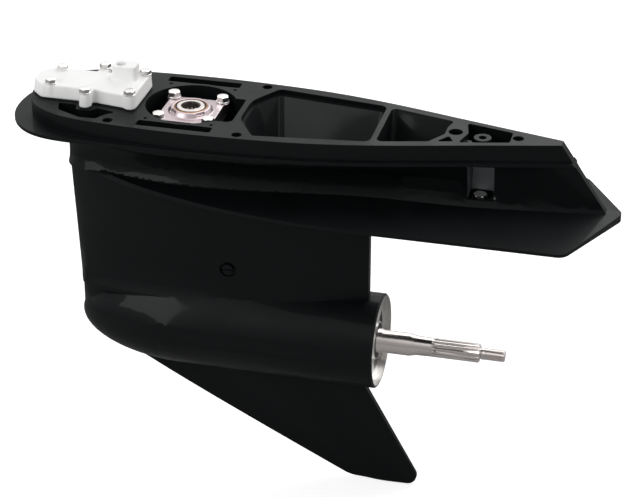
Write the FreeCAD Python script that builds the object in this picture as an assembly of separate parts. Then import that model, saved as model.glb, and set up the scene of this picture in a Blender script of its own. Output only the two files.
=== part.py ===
import FreeCAD, Part
import math
import os

# Outboard lower unit: gearcase casting, bevel gear train, dog clutch and shift linkage.
# Millimetres. +X points aft, +Y to starboard, +Z up.
# The origin is where the driveshaft axis crosses the deck, the face that bolts up to the leg.

V = FreeCAD.Vector
UP, AFT, ACROSS = V(0, 0, 1), V(1, 0, 0), V(0, 1, 0)

# Main stations
PROP_Z = -313.5            # propeller shaft axis below the deck
LEDGE_Z = -22.5            # top of the splash ledge
LEDGE_T = 4.5
FLARE_Z = LEDGE_Z - LEDGE_T
PLATE_Z = -87.2            # anti-ventilation plate, top face on the centre line
PLATE_T = 6.0
PLATE_HALF = 110.0
PLATE_DROOP = 9.3          # drop of the plate's edge below its centre line
PLATE_TIP_X = 553.5
PLATE_CORNER_X = 499.0
SKEG_DEPTH = 217.0         # skeg's foot below the propeller shaft
DECK_NOSE_X = -209.5
DECK_TAIL_X = 476.5
TAIL_RAKE = 0.68           # run aft of the tail's edge for each millimetre down
STRUT_NOSE_X = -166.0      # leading edge at the plate
STRUT_NOSE_RAKE = 0.05     # the leading edge moves aft on its way down
STRUT_TAIL_X = 237.0
STRUT_HALF = 30.0          # half width where the fillet starts
FILLET_R = 26.0            # fillet between the strut and the torpedo

# Deck outline, half width at each station
DECK_HALF = ((-199, 40), (-164, 69.5), (-93, 84), (0, 88.5), (90, 86), (165, 79.5), (237, 67), (355, 37.5))
LEDGE_PROUD = ((-225, 38), (-192, 80), (-110, 94), (0, 93), (90, 90), (165, 83.5), (237, 71.5), (355, 42.5))
LEDGE_NOSE_X = -231.0
TAIL_HALF = 7.0

# Torpedo
RIM_R = 63.0
TORPEDO_R = 62.0
TORPEDO_AFT_X = 254.5
TORPEDO_TIP_X = -157.0
TORPEDO_FULL_X = -8.0      # where the nose has grown to full size
FILLET_TOP = math.sqrt((TORPEDO_R + FILLET_R) ** 2 - (STRUT_HALF + FILLET_R) ** 2)
FILLET_FOOT = FILLET_TOP * TORPEDO_R / (TORPEDO_R + FILLET_R)
RIM_BORE_R = 59.2
RIM_BORE_DEPTH = 22.0
EXHAUST_R = 55.5
GEAR_ROOM_R = 53.5
FIT = 0.05                 # radial running clearance
SEAT = 0.1                 # radial clearance of a seated piece
GAP = 0.3                  # clearance between pieces that move past each other

# Bevel gears: a pinion on the driveshaft between two driven gears
PINION_TEETH = 14
GEAR_TEETH = 28
GEAR_PITCH_R = 48.0
FACE_WIDTH = 14.0
PRESSURE_ANGLE = math.radians(20)
BACKLASH = 0.5
MODULE = 2 * GEAR_PITCH_R / GEAR_TEETH
PINION_PITCH_R = MODULE * PINION_TEETH / 2
CONE_DISTANCE = math.hypot(GEAR_PITCH_R, PINION_PITCH_R)
ADDENDUM = MODULE
DEDENDUM = 1.25 * MODULE

# Driven gears, measured from the driveshaft axis
GEAR_HUB_FACE = 19.0
GEAR_BACK = 36.0
GEAR_BUSH_R = 17.2
FORWARD_HUB_R = 23.0
FORWARD_HUB_END = 58.0
REVERSE_HUB_R = 25.0
REVERSE_HUB_END = 55.0
FORWARD_CUP_R = 40.0
GEAR_BUSH_END = 50.0
THRUST_WASHER_R = 24.0
THRUST_WASHER_END = 57.5

# Dog clutch
LUG_COUNT = 4
LUG_ANGLE = 20.0
LUG_OFFSET = 22.5          # turn of the gears' lugs, so that the dog's lugs fall between them
LUG_INNER_R, LUG_OUTER_R = 18.0, 28.0
DOG_HALF = 8.0
DOG_LUG_TIP = 12.5
GEAR_LUG_TIP = 14.0
CLUTCH_THROW = 5.5
CROSS_PIN_R = 3.0
RING_WIRE_R = 1.0

# Driveshaft
SHAFT_TOP_Z = -2.0
SHAFT_HEAD_R = 18.0
SHAFT_SEAT_R = 17.0
SHAFT_R = 14.0
SOCKET_R = 12.7
SOCKET_PILOT = 10.0
SOCKET_DEPTH = 56.0
SOCKET_TEETH = 16
PINION_JOURNAL_R = 16.0
PINION_BEARING_R = 22.0
PINION_BEARING_LOW, PINION_BEARING_HIGH = 59.0, 83.0
PINION_BORE_R = 13.0
PINION_NUT_R = 9.0
PINION_NUT_CORNER_R = 11.0
PINION_ROOM_R = 29.0
SHAFT_BORE_R = 20.0

# Driveshaft bearing and its retainer
CUP_R = 30.0
CUP_TOP_Z, CUP_BOTTOM_Z = -24.5, -44.5
RETAINER_HALF = 37.0
RETAINER_TOP_Z = -8.5
RETAINER_BOTTOM_Z = -22.5
RETAINER_BOSS_R = 29.0
RETAINER_BOSS_TOP_Z = -2.5
RETAINER_BOLT_X, RETAINER_BOLT_Y = 32.5, 34.5
RETAINER_LUG_R = 9.4
SEAL_R = 21.5
SEAL_DEPTH = 8.0
SEAL_CASE_T = 1.2
SHIM_INNER_R = 25.5

# Propeller shaft
SHAFT_FRONT_X = -60.0
SHOULDER_X = 60.0
PROP_BODY_R = 16.3
PROP_STEP_X = 256.0
JOURNAL_R = 15.1
JOURNAL_END_X = 293.0
TAPER_END_X = 302.0
SPLINE_R = 12.5
SPLINE_ROOT_R = 10.9
SPLINE_TEETH = 13
SPLINE_START_X, SPLINE_END_X = 322.0, 386.0
SPLINE_RUNOUT_R = 24.0
THREAD_R = 7.9
SHAFT_END_X = 419.0
PLUNGER_R = 6.0
PLUNGER_NECK_R = 4.4
PLUNGER_BORE_END_X = 18.0

# Bearing carrier
CARRIER_FRONT_X = 38.5
CARRIER_FLANGE_END_X = 76.0
CARRIER_AFT_X = 246.0
CARRIER_DISC_T = 12.0
CARRIER_DISC_R = 51.0
CARRIER_HUB_R = 26.0
WINDOW_INNER_R, WINDOW_OUTER_R = 27.5, 44.0
WINDOW_ANGLE = 42.0
WINDOW_TURN = 15.0
BALL_RACE_R = 42.0
BALL_R, BALL_RING_R, BALL_COUNT = 4.5, 33.5, 12
BALL_INNER_RACE_R, BALL_OUTER_RACE_R = 30.5, 36.5
CARRIER_NEEDLE_R = 22.0
CARRIER_NEEDLE_X, CARRIER_NEEDLE_END_X = 196.0, 218.0
SHAFT_SEAL_R = 24.0
SHAFT_SEAL_X, SHAFT_SEAL_T, SHAFT_SEAL_PITCH = 234.0, 7.5, 8.5
O_RING_X = (58.0, 65.0)
O_RING_WIRE_R = 1.3
O_RING_GROOVE = 4.0

# Shift linkage
SHIFT_X, SHIFT_Y = -96.0, 14.0
SHIFT_ROD_R = 5.0
SHIFT_BUSH_R = 8.5
SHIFT_TOP_Z = 6.0
CRANK_PIN_R = 3.6
CRANK_LOW, CRANK_HIGH = 14.0, 21.5
SPOOL_R = 12.0
SPOOL_ROOM_R = 32.0
SPOOL_ROOM_X = -121.0

# Deck features
CHAMBER_R = 59.0
CHAMBER_DEPTH = 44.0
SLOT_OUTER_Y, SLOT_INNER_Y = 77.5, 62.5
SLOT_INNER_R = 63.5
SLOT_DEPTH = 26.0
PLATE_HOLE_X, PLATE_HOLE_Y = 43.0, 55.5
PLATE_HOLE_R = 2.5
SIDE_STUD_X, SIDE_STUD_Y = 81.3, 75.0
FRONT_STUD_X, FRONT_STUD_Y = -87.0, 73.0
STUD_R = 6.5
TAIL_STUD_X = 421.5
TAIL_STUD_R = 7.0
STUD_DEPTH = 21.0
RIB_X, RIB_T = 245.0, 7.0
DOWEL_X = 343.0
DOWEL_R, DOWEL_BOSS_R = 9.0, 12.8
TAB_X = 377.0
TAB_BORE_R = 16.0
TAB_BORE_TOP_Z = -31.5
TAB_FLOOR_Z = -82.0
TAB_SEAT_Z = -90.5
TAB_FACE_Z = -98.6         # flat under the plate that the tab turns against
TAB_DISC_R = 25.0
TAB_FOOT_Z = -149.0
TAB_BOLT_R, TAB_BOSS_R = 5.0, 11.0
TAB_BOSS_TOP_Z = -3.7
POCKET_FLOOR_Z = -26.0

# Oil plugs: position, outward direction and how far the spot face lies from the centre plane
LEVEL_PLUG = (54.0, PROP_Z + 96, -1, 26.5)
DRAIN_PLUG = (-88.0, PROP_Z - 6, 1, 47.0)
PLUG_R, PLUG_HEAD_R, PLUG_HEAD_T = 4.0, 8.0, 4.0
PLUG_LENGTH = 14.0
PLUG_SPOT_R = 11.0
PLUG_GASKET_R, PLUG_GASKET_T = 7.4, 1.0

# Front cover
COVER_FOOT_Z = 1.0
COVER_TOP_Z = 19.5
COVER_WALL = 5.5
COVER_BOLTS = ((-179, 22.5), (-127, 41), (-70, 33.5))
COVER_BOSS_R = 7.2
TOWER_TOP_Z = 40.0
PORT_R = 6.2

# Fasteners
SCREW_R = 3.0
SCREW_HEAD_R = 6.6
SCREW_WASHER_R = 7.0
BOLT_R = 4.0
BOLT_HEAD_R = 8.4
BOLT_WASHER_R = 8.8
WASHER_T = 1.6
HEAD_T = 7.0


def cylinder(radius, low, high, at=(0, 0)):
    """Upright cylinder between two heights."""
    return Part.makeCylinder(radius, high - low, V(at[0], at[1], low))


def rod(radius, start, end, at=(0, PROP_Z)):
    """Cylinder along X, on the propeller shaft axis unless placed elsewhere."""
    return Part.makeCylinder(radius, end - start, V(start, at[0], at[1]), AFT)


def block(low, high):
    """Box between two corners."""
    size = [high[i] - low[i] for i in range(3)]
    return Part.makeBox(size[0], size[1], size[2], V(*low))


def rounded_wire(corners, z=0.0):
    """Closed flat outline through corners (x, y, radius), each corner rounded by an arc."""
    arcs = []
    for i, (x, y, radius) in enumerate(corners):
        here = V(x, y, z)
        last, following = corners[i - 1], corners[(i + 1) % len(corners)]
        back = (V(last[0], last[1], z) - here).normalize()
        ahead = (V(following[0], following[1], z) - here).normalize()
        half = back.getAngle(ahead) / 2
        reach = radius / math.tan(half)
        middle = here + (back + ahead).normalize() * (radius / math.sin(half) - radius)
        arcs.append((here + back * reach, middle, here + ahead * reach))
    edges = []
    for i, (start, middle, end) in enumerate(arcs):
        edges.append(Part.Arc(start, middle, end).toShape())
        after = arcs[(i + 1) % len(arcs)][0]
        if end.distanceToPoint(after) > 0.001:
            edges.append(Part.LineSegment(end, after).toShape())
    return Part.Wire(edges)


def prism(wire, height):
    """Solid made by raising a flat outline."""
    return Part.Face(wire).extrude(V(0, 0, height))


def both_sides(corners):
    """The starboard half of an outline, from nose to tail, and its port mirror, as one closed list."""
    return list(corners) + [(x, -y, r) for x, y, r in reversed(corners)]


def pocket(top, bottom, top_z, bottom_z):
    """Tapered pocket between two outlines that have the same number of corners."""
    wires = [rounded_wire(top, top_z), rounded_wire(bottom, bottom_z)]
    return Part.makeLoft(wires, True, True)


def spline(points, start_run, end_run):
    """Smooth curve through points, leaving and arriving along two unit directions."""
    curve = Part.BSplineCurve()
    curve.interpolate(Points=points, InitialTangent=start_run, FinalTangent=end_run, Scale=False)
    return curve.toShape()


def hull_wire(nose_x, half_widths, tail_x, tail_half, z):
    """Boat-shaped outline: round at the nose, blunt at the tail, symmetric about the centre line."""
    points = [(nose_x, 0.0)] + list(half_widths) + [(tail_x, tail_half)]
    before, last = points[-2], points[-1]
    run = V(last[0] - before[0], last[1] - before[1], 0).normalize()
    starboard = spline([V(x, y, z) for x, y in points], ACROSS, run)
    port = spline([V(x, -y, z) for x, y in reversed(points)], V(-run.x, run.y, 0), ACROSS)
    tail = Part.LineSegment(V(tail_x, tail_half, z), V(tail_x, -tail_half, z))
    return Part.Wire([starboard, tail.toShape(), port])


def tail_x(z):
    """The tail's slanting edge at a height."""
    return DECK_TAIL_X - z * TAIL_RAKE


def turned(profile, axis_point=V(0, 0, 0), axis=UP):
    """Solid of revolution from (radius, distance along the axis) points."""
    across = AFT if axis == UP else UP
    points = [axis_point + across * r + axis * d for r, d in profile]
    face = Part.Face(Part.makePolygon(points + points[:1]))
    return face.revolve(axis_point, axis, 360)


def on_prop_axis(profile, side=1):
    """Turned piece on the propeller shaft axis: distances run aft, or forward if side is -1."""
    return turned(profile, V(0, 0, PROP_Z), AFT * side)


def around(shape, count, axis_point, axis, first=0.0):
    """Copies of a shape spaced evenly round an axis."""
    copies = []
    for i in range(count):
        copy = shape.copy()
        copy.rotate(axis_point, axis, first + 360.0 * i / count)
        copies.append(copy)
    return copies


def hex_prism(corner_r, low, high, at):
    """Upright hexagon, as on a bolt head or a nut."""
    ring = [
        V(at[0] + corner_r * math.cos(math.radians(a)), at[1] + corner_r * math.sin(math.radians(a)), low)
        for a in range(0, 360, 60)
    ]
    return Part.Face(Part.makePolygon(ring + ring[:1])).extrude(V(0, 0, high - low))


def hex_bolt(shank_r, length, head_r, washer_r, seat_z, at):
    """Hex bolt and washer that sit on a face, with the shank below and a chamfered head above."""
    washer = cylinder(washer_r, seat_z, seat_z + WASHER_T, at)
    top = seat_z + WASHER_T + HEAD_T
    head = hex_prism(head_r, seat_z + WASHER_T, top, at)
    crown = Part.makeCone(head_r * 1.45, head_r * 0.9, HEAD_T * 1.0, V(at[0], at[1], seat_z + WASHER_T))
    shank = cylinder(shank_r, seat_z - length, seat_z, at)
    return washer.fuse([head.common(crown), shank]).removeSplitter()


def filleted_half(half, height):
    """Half width of the strut where its wall runs out into the torpedo on a fillet."""
    rise = FILLET_TOP - height
    return half + (FILLET_R - math.sqrt(FILLET_R ** 2 - rise ** 2)) * half / STRUT_HALF


# Gearcase casting, outside

def deck_band():
    """The wall that rises from the ledge to the deck, with its raked tail."""
    wires = [
        hull_wire(DECK_NOSE_X, DECK_HALF, tail_x(z), TAIL_HALF, z)
        for z in (0.0, FLARE_Z)
    ]
    return Part.makeLoft(wires, True, True)


def splash_ledge():
    """Thin shelf round the foot of the deck band, widest at the nose."""
    top = hull_wire(LEDGE_NOSE_X, LEDGE_PROUD, tail_x(LEDGE_Z), TAIL_HALF + 4, LEDGE_Z)
    foot = hull_wire(LEDGE_NOSE_X, LEDGE_PROUD, tail_x(FLARE_Z), TAIL_HALF + 4, FLARE_Z)
    return Part.makeLoft([top, foot], True, True)


def flare():
    """Body between the ledge and the plate: it narrows from the deck's width to the strut's neck."""
    stations = (-155, -130, -93, 0, 90, 165, 237, 355)
    at_ledge = (26, 52, 74, 86, 83.5, 77, 64.5, 35.5)
    at_waist = (20, 37, 54, 68, 65, 56, 44, 27)
    at_neck = (16, 26, 33, 42, 37, 29, 22, 19.5)
    levels = (
        (FLARE_Z, at_ledge, 0.0, TAIL_HALF),
        (-45.0, at_waist, 0.0, 6.0),
        (-66.0, at_neck, 1.0, 5.0),
        (-78.0, at_neck, 0.0, 4.5),
        (-85.0, at_neck, 1.8, 5.5),
        (-89.0, at_neck, 5.5, 8.0),
        (-92.5, at_neck, 12.0, 12.0),
    )
    wires = []
    for z, halves, spread, tail_half in levels:
        wires.append(
            hull_wire(
                STRUT_NOSE_X, [(x, h + spread) for x, h in zip(stations, halves)], tail_x(z), tail_half, z
            )
        )
    return Part.makeLoft(wires, True)


def ventilation_plate():
    """Anti-ventilation plate: a drooped section along the boat, trimmed to its plan outline."""
    low = PLATE_Z - PLATE_DROOP
    section = [
        V(-250, 0, PLATE_Z),
        V(-250, PLATE_HALF, low),
        V(-250, PLATE_HALF, low - PLATE_T * 0.7),
        V(-250, 0, PLATE_Z - PLATE_T * 1.7),
        V(-250, -PLATE_HALF, low - PLATE_T * 0.7),
        V(-250, -PLATE_HALF, low),
    ]
    bar = Part.Face(Part.makePolygon(section + section[:1])).extrude(V(820, 0, 0))
    edge = [
        (-147, 15), (-118, 32), (-79, 53), (-17, 75.5), (42, 90.5), (99, 100.5), (152, 107), (215, PLATE_HALF),
    ]
    points = [V(-165, 0, 0)] + [V(x, y, 0) for x, y in edge]
    side = spline(points, V(0.6, 0.8, 0), AFT)
    corner = rounded_wire(
        [
            (100, PLATE_HALF, 1),
            (PLATE_CORNER_X, PLATE_HALF, 16),
            (PLATE_TIP_X + 3, 0, 14),
            (PLATE_CORNER_X, -PLATE_HALF, 16),
            (100, -PLATE_HALF, 1),
        ]
    )
    front = Part.Wire([side, Part.LineSegment(points[-1], V(215, 0, 0)).toShape(),
                       Part.LineSegment(V(215, 0, 0), points[0]).toShape()])
    port = Part.Face(front).mirror(V(0, 0, 0), ACROSS)
    plans = [Part.Face(front), port, Part.Face(corner).common(Part.makePlane(600, 400, V(215, -200, 0)))]
    plan = plans[0].extrude(V(0, 0, -200))
    plan = plan.fuse([face.extrude(V(0, 0, -200)) for face in plans[1:]]).removeSplitter()
    return bar.common(plan)


def strut():
    """Streamlined leg from the plate down to the torpedo, which it meets on a fillet."""
    stations = (-148, -120, -80, 0, 90, 165)
    upper = (15, 25.5, 32, 37, 33, 24)
    lower = (14, 22, 26.5, 30, 27, 20)
    levels = [(PLATE_Z - 4, 0.0, 0.0), (PROP_Z + FILLET_TOP, 1.0, 0.0)]
    for step in range(1, 6):
        height = FILLET_TOP + (FILLET_FOOT - FILLET_TOP) * step / 5
        levels.append((PROP_Z + height, 1.0, FILLET_TOP - height))
    levels.append((PROP_Z + FILLET_FOOT - 6, 1.0, FILLET_TOP - FILLET_FOOT))
    wires = []
    for z, blend, rise in levels:
        nose = STRUT_NOSE_X + (PLATE_Z - z) * STRUT_NOSE_RAKE
        halves = [filleted_half(u + (l - u) * blend, FILLET_TOP - rise) for u, l in zip(upper, lower)]
        wires.append(hull_wire(nose, list(zip(stations, halves)), STRUT_TAIL_X, 6.0, z))
    leg = Part.makeLoft(wires, True, True)
    nose = STRUT_NOSE_X + (PLATE_Z - PROP_Z) * STRUT_NOSE_RAKE
    bow = [(x, h) for x, h in zip(stations, lower)][:4]
    stem = [hull_wire(nose - 1, bow, 30.0, 28.0, z) for z in (PROP_Z + FILLET_FOOT + 4, PROP_Z - 5)]
    return leg.fuse(Part.makeLoft(stem, True, True))


def torpedo():
    """Round body on the propeller shaft axis: an elliptical nose and a gently widening barrel."""
    reach = TORPEDO_FULL_X - TORPEDO_TIP_X
    nose = []
    for step in range(7):
        turn = math.pi / 2 * step / 6
        nose.append(V(TORPEDO_FULL_X - reach * math.cos(turn), 0, PROP_Z + TORPEDO_R * math.sin(turn)))
    curve = spline(nose, UP, AFT)
    lip = 2.0
    corners = [nose[-1], V(TORPEDO_AFT_X - 60, 0, PROP_Z + RIM_R), V(TORPEDO_AFT_X - lip, 0, PROP_Z + RIM_R),
               V(TORPEDO_AFT_X, 0, PROP_Z + RIM_R - lip), V(TORPEDO_AFT_X, 0, PROP_Z), nose[0]]
    lines = [Part.LineSegment(a, b).toShape() for a, b in zip(corners, corners[1:])]
    return Part.Face(Part.Wire([curve] + lines)).revolve(V(0, 0, PROP_Z), AFT, 360)


def skeg():
    """Fin under the torpedo: thick at its root, thin at its foot, with a sharp leading edge."""
    root_z, foot_z = PROP_Z - 50, PROP_Z - SKEG_DEPTH - 4
    root = hull_wire(-100, [(-60, 5), (20, 9), (120, 10)], 252, 3.0, root_z)
    foot = hull_wire(205, [(225, 1.8), (255, 3.2), (290, 3.4)], 342, 1.6, foot_z)
    fin = Part.makeLoft([root, foot], True, True)
    foot_x = 217.5
    outline = [(-104.5, -48.0), (foot_x, -SKEG_DEPTH), (316.0, -SKEG_DEPTH), (221.0, -48.0)]
    radii = (1, 48, 13, 1)
    wire = rounded_wire([(x, z, r) for (x, z), r in zip(outline, radii)])
    sheet = Part.Face(wire).extrude(V(0, 0, 60))
    sheet.rotate(V(0, 0, 0), AFT, 90)
    sheet.translate(V(0, 30, PROP_Z))
    return fin.common(sheet)


# Gearcase casting, hollows

def chamber():
    """Round well for the driveshaft bearing, with a square relief aft and the pedestal left standing."""
    well = cylinder(CHAMBER_R, -CHAMBER_DEPTH, 1, (1, 0))
    relief = prism(rounded_wire([(30, 30, 3), (65.5, 30, 4), (65.5, -42, 9), (30, -42, 3)], -32.0), 33.0)
    half = RETAINER_HALF + 3
    base = rounded_wire([(-half, -half, 11), (half, -half, 11), (half, half, 11), (-half, half, 11)],
                        -CHAMBER_DEPTH - 1)
    pedestal = prism(base, RETAINER_BOTTOM_Z + CHAMBER_DEPTH + 1)
    return well.fuse(relief).cut(pedestal)


def water_slots():
    """Crescent passages on both sides of the well."""
    slots = []
    for side in (1, -1):
        edges = sorted((side * SLOT_INNER_Y, side * SLOT_OUTER_Y))
        slot = prism(
            rounded_wire(
                [(-50, edges[0], 3), (47, edges[0], 3), (47, edges[1], 3), (-50, edges[1], 3)], -SLOT_DEPTH
            ),
            SLOT_DEPTH + 1,
        )
        slots.append(slot.cut(cylinder(SLOT_INNER_R, -SLOT_DEPTH - 1, 2, (1, 0))))
    return slots


def exhaust_cavity():
    """Large gas passage aft of the well: a stepped mouth, sloping walls and a duct down the strut."""
    mouth = both_sides([(73, 28, 40), (99, 73, 9), (RIB_X, 54, 10)])
    step = both_sides([(76, 26, 36), (101, 67.5, 8), (RIB_X - 1, 49, 9)])
    throat = both_sides([(104, 9, 7), (112, 22, 9), (RIB_X - 7, 12.5, 8)])
    duct_low = both_sides([(112, 5, 4), (117, 12, 6), (206, 6.5, 5)])
    upper = prism(rounded_wire(mouth, -7.0), 8.0)
    middle = pocket(step, throat, -6.0, -80.0)
    duct = pocket(throat, duct_low, -79.0, -150.0)
    lower = pocket(duct_low, duct_low, -149.0, PROP_Z + 45)
    return [upper, middle, duct, lower]


def second_cavity():
    """Wedge pocket aft of the cross rib, ending at a slanting rib and the dowel boss."""
    front = RIB_X + RIB_T
    top = [(front, 52, 7), (336, 30.5, 5), (331, 11, 3), (331, -9, 3), (315, -35.5, 3), (front, -52, 7)]
    foot = [(front + 1, 16, 7), (322, 14, 5), (320, 7, 3), (320, -6, 3), (308, -14, 3), (front + 1, -16, 7)]
    return [pocket(top, foot, 1.0, -68.0)]


def rear_pockets():
    """Small pockets round the two bosses in the tail."""
    triangle = prism(rounded_wire([(324, -33.5, 2), (345, -27.5, 2), (337, -13.5, 2)], -18.0), 19.0)
    tail = prism(
        rounded_wire(
            [(353, 29, 3), (413, 14.5, 3), (413, -14.5, 3), (351, -29.5, 3), (359, 0, 3)], POCKET_FLOOR_Z
        ),
        1 - POCKET_FLOOR_Z,
    )
    boss = cylinder(TAB_BOSS_R, POCKET_FLOOR_Z - 1, TAB_BOSS_TOP_Z, (TAB_X, 0))
    pad = cylinder(6.5, POCKET_FLOOR_Z - 1, -6.0, (360, -13))
    return [triangle, tail.cut([boss, pad])]


def front_pockets():
    """Open pockets on both sides of the ring that the front cover seals."""
    top = [(-164, 37.5, 2), (-140, 37.5, 3), (-137, 51.5, 6), (-118, 51.5, 6), (-110, 41.5, 5),
           (-84, 48.5, 3), (-97, 59, 4), (-103, 72, 5), (-125, 73, 8), (-158, 57, 4)]
    pockets = [prism(rounded_wire(top, POCKET_FLOOR_Z), 1 - POCKET_FLOOR_Z)]
    pockets.append(pockets[0].mirror(V(0, 0, 0), ACROSS))
    return pockets


def room_outline(inset):
    """Plan of the room under the front cover, shrunk by an inset."""
    return both_sides([
        (-194 + inset, 8 - inset / 2, 6), (-176 + inset / 2, 13 - inset, 5),
        (-150, 24 - inset, 8), (-80 - inset, 25 - inset, 6),
    ])


def cover_room():
    """Chamber under the front cover, where the shift rod comes up."""
    return prism(rounded_wire(room_outline(0), POCKET_FLOOR_Z), 1 - POCKET_FLOOR_Z)


def deck_holes():
    """Stud holes, tapped holes and the two boss bores in the deck."""
    holes = []
    for side in (1, -1):
        holes.append(cylinder(STUD_R, -STUD_DEPTH, 1, (SIDE_STUD_X, side * SIDE_STUD_Y)))
        holes.append(cylinder(STUD_R, -STUD_DEPTH, 1, (FRONT_STUD_X, side * FRONT_STUD_Y)))
        for x in (PLATE_HOLE_X, -PLATE_HOLE_X):
            holes.append(cylinder(PLATE_HOLE_R, -14.0, 1, (x, side * PLATE_HOLE_Y)))
        for x, y in COVER_BOLTS:
            holes.append(cylinder(SCREW_R + FIT, -16.0, 1, (x, side * y)))
        for x in (RETAINER_BOLT_X, -RETAINER_BOLT_X):
            holes.append(cylinder(BOLT_R + FIT, -38.0, 1, (x, side * RETAINER_BOLT_Y)))
    holes.append(cylinder(TAIL_STUD_R, -STUD_DEPTH, 1, (TAIL_STUD_X, 0)))
    holes.append(cylinder(DOWEL_R, -24.0, 1, (DOWEL_X, 0)))
    holes.append(cylinder(TAB_BOLT_R, TAB_BORE_TOP_Z - 1, 1, (TAB_X, 0)))
    return holes


def tab_window():
    """Square window in the port wall, over the counterbore that takes the trim tab's bolt."""
    window = prism(
        rounded_wire([(TAB_X - 13, -60, 2), (TAB_X + 20, -60, 2), (TAB_X + 20, 11, 3), (TAB_X - 13, 11, 3)],
                     TAB_FLOOR_Z),
        TAB_BORE_TOP_Z - TAB_FLOOR_Z,
    )
    counterbore = cylinder(TAB_BORE_R, TAB_SEAT_Z, TAB_FLOOR_Z + 1, (TAB_X, 0))
    return [window, counterbore, cylinder(TAB_BOLT_R + GAP, TAB_FACE_Z - 1, TAB_SEAT_Z + 1, (TAB_X, 0))]


def side_recesses():
    """Long shallow recesses low in both walls aft of the strut."""
    outline = rounded_wire([(278, -54, 8), (356, -54, 8), (356, -75, 8), (278, -75, 8)])
    near = Part.Face(outline).extrude(V(0, 0, 40))
    near.rotate(V(0, 0, 0), AFT, 90)
    near.translate(V(0, -19.5, 0))
    return [near, near.mirror(V(0, 0, 0), ACROSS)]


def shaft_bores():
    """Bores for the driveshaft and its bearings, from the pedestal down to the gear room."""
    return [
        cylinder(CUP_R + FIT, CUP_BOTTOM_Z, 0),
        cylinder(SHAFT_BORE_R, PROP_Z + 40, 0),
        cylinder(PINION_BEARING_R + FIT, PROP_Z + PINION_BEARING_LOW, PROP_Z + PINION_BEARING_HIGH),
        cylinder(PINION_ROOM_R, PROP_Z + 30, PROP_Z + PINION_BEARING_LOW - 1.5),
    ]


def torpedo_bores():
    """Stepped bore of the torpedo, from the propeller end to the shift linkage."""
    return [
        rod(RIM_BORE_R, TORPEDO_AFT_X - RIM_BORE_DEPTH, TORPEDO_AFT_X + 1),
        rod(EXHAUST_R, CARRIER_FLANGE_END_X, TORPEDO_AFT_X),
        rod(GEAR_ROOM_R, -GEAR_BACK, CARRIER_FLANGE_END_X + 1),
        rod(FORWARD_CUP_R + FIT, -FORWARD_HUB_END, 0),
        rod(SPOOL_ROOM_R, SPOOL_ROOM_X, 0),
    ]


def shift_bores():
    """Bore for the shift rod, wider at its bush, close-fitting where it enters the torpedo."""
    at = (SHIFT_X, SHIFT_Y)
    return [
        cylinder(SHIFT_BUSH_R + FIT, POCKET_FLOOR_Z - 16, 0, at),
        cylinder(SHIFT_ROD_R + 1.3, PROP_Z + 48, 0, at),
        cylinder(SHIFT_ROD_R + FIT, PROP_Z + 10, 0, at),
    ]


def plug_holes():
    """Spot faces and threaded holes for the oil plugs."""
    holes = []
    for x, z, side, face in (LEVEL_PLUG, DRAIN_PLUG):
        out = ACROSS * side
        holes.append(Part.makeCylinder(PLUG_SPOT_R, 20, V(x, side * face, z), out))
        holes.append(Part.makeCylinder(PLUG_R + FIT, PLUG_LENGTH + 6, V(x, side * (face + 1), z), out * -1))
    return holes


def gearcase_housing():
    """The casting: its outer forms in one body, then every hollow cut from it."""
    body = strut().fuse([torpedo(), skeg(), ventilation_plate(), flare(), splash_ledge(), deck_band()])
    pads = [
        cylinder(DOWEL_BOSS_R, -30, 0, (DOWEL_X, 0)),
        cylinder(TAB_DISC_R + 1, TAB_FACE_Z, PLATE_Z - 4, (TAB_X, 0)),
    ]
    body = body.fuse(pads).removeSplitter()
    hollows = [chamber(), cover_room()] + water_slots() + exhaust_cavity() + second_cavity()
    hollows += rear_pockets() + front_pockets() + deck_holes() + tab_window() + side_recesses()
    hollows += shaft_bores() + torpedo_bores() + shift_bores() + plug_holes()
    return body.cut(hollows)


# Front cover

def cover_outline(grow):
    """Cover's plan outline, from its nose to its square tail, grown by a margin."""
    half = 30.0 + grow
    return both_sides(
        [(-207.5 - grow, 14 + grow * 0.5, 12), (-192 - grow * 0.5, half, 10), (-116, half + 1, 8),
         (-61.5 + grow, 40 + grow, 9)]
    )


def cover_arms(low, high):
    """Arms that carry the cover's two widest bolt bosses, between two heights."""
    x, y = max(COVER_BOLTS, key=lambda seat: seat[1])
    arm = block((x - 7, 20, low), (x + 7, y, high))
    return [arm, arm.mirror(V(0, 0, 0), ACROSS)]


def cover_bolt_holes(high):
    return [
        cylinder(SCREW_R + 0.4, -1, high, (x, side * y)) for x, y in COVER_BOLTS for side in (1, -1)
    ]


def front_cover():
    """White cover over the front chamber: drafted walls, six bolt bosses and a raised port tower."""
    height = COVER_TOP_Z - COVER_FOOT_Z
    shell = pocket(cover_outline(0), cover_outline(-2.5), COVER_FOOT_Z, COVER_TOP_Z)
    bosses = []
    for x, y in COVER_BOLTS:
        for side in (1, -1):
            bosses.append(
                Part.makeCone(COVER_BOSS_R + 1, COVER_BOSS_R, height, V(x, side * y, COVER_FOOT_Z))
            )
    tower_foot = [(-108, 2, 6), (-73, 2, 6), (-73, 28, 6), (-108, 28, 6)]
    tower_top = [(-106.5, 3.5, 5), (-74.5, 3.5, 5), (-74.5, 26.5, 5), (-106.5, 26.5, 5)]
    tower = pocket(tower_foot, tower_top, COVER_FOOT_Z + 6, TOWER_TOP_Z)
    shell = shell.fuse(bosses + cover_arms(COVER_FOOT_Z, COVER_TOP_Z) + [tower]).removeSplitter()
    room = pocket(room_outline(1), room_outline(3), COVER_FOOT_Z - 1, COVER_TOP_Z - COVER_WALL)
    port = cylinder(PORT_R, COVER_FOOT_Z, TOWER_TOP_Z + 1, (SHIFT_X, SHIFT_Y))
    return shell.cut([room, port] + cover_bolt_holes(COVER_TOP_Z + 1))


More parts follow.
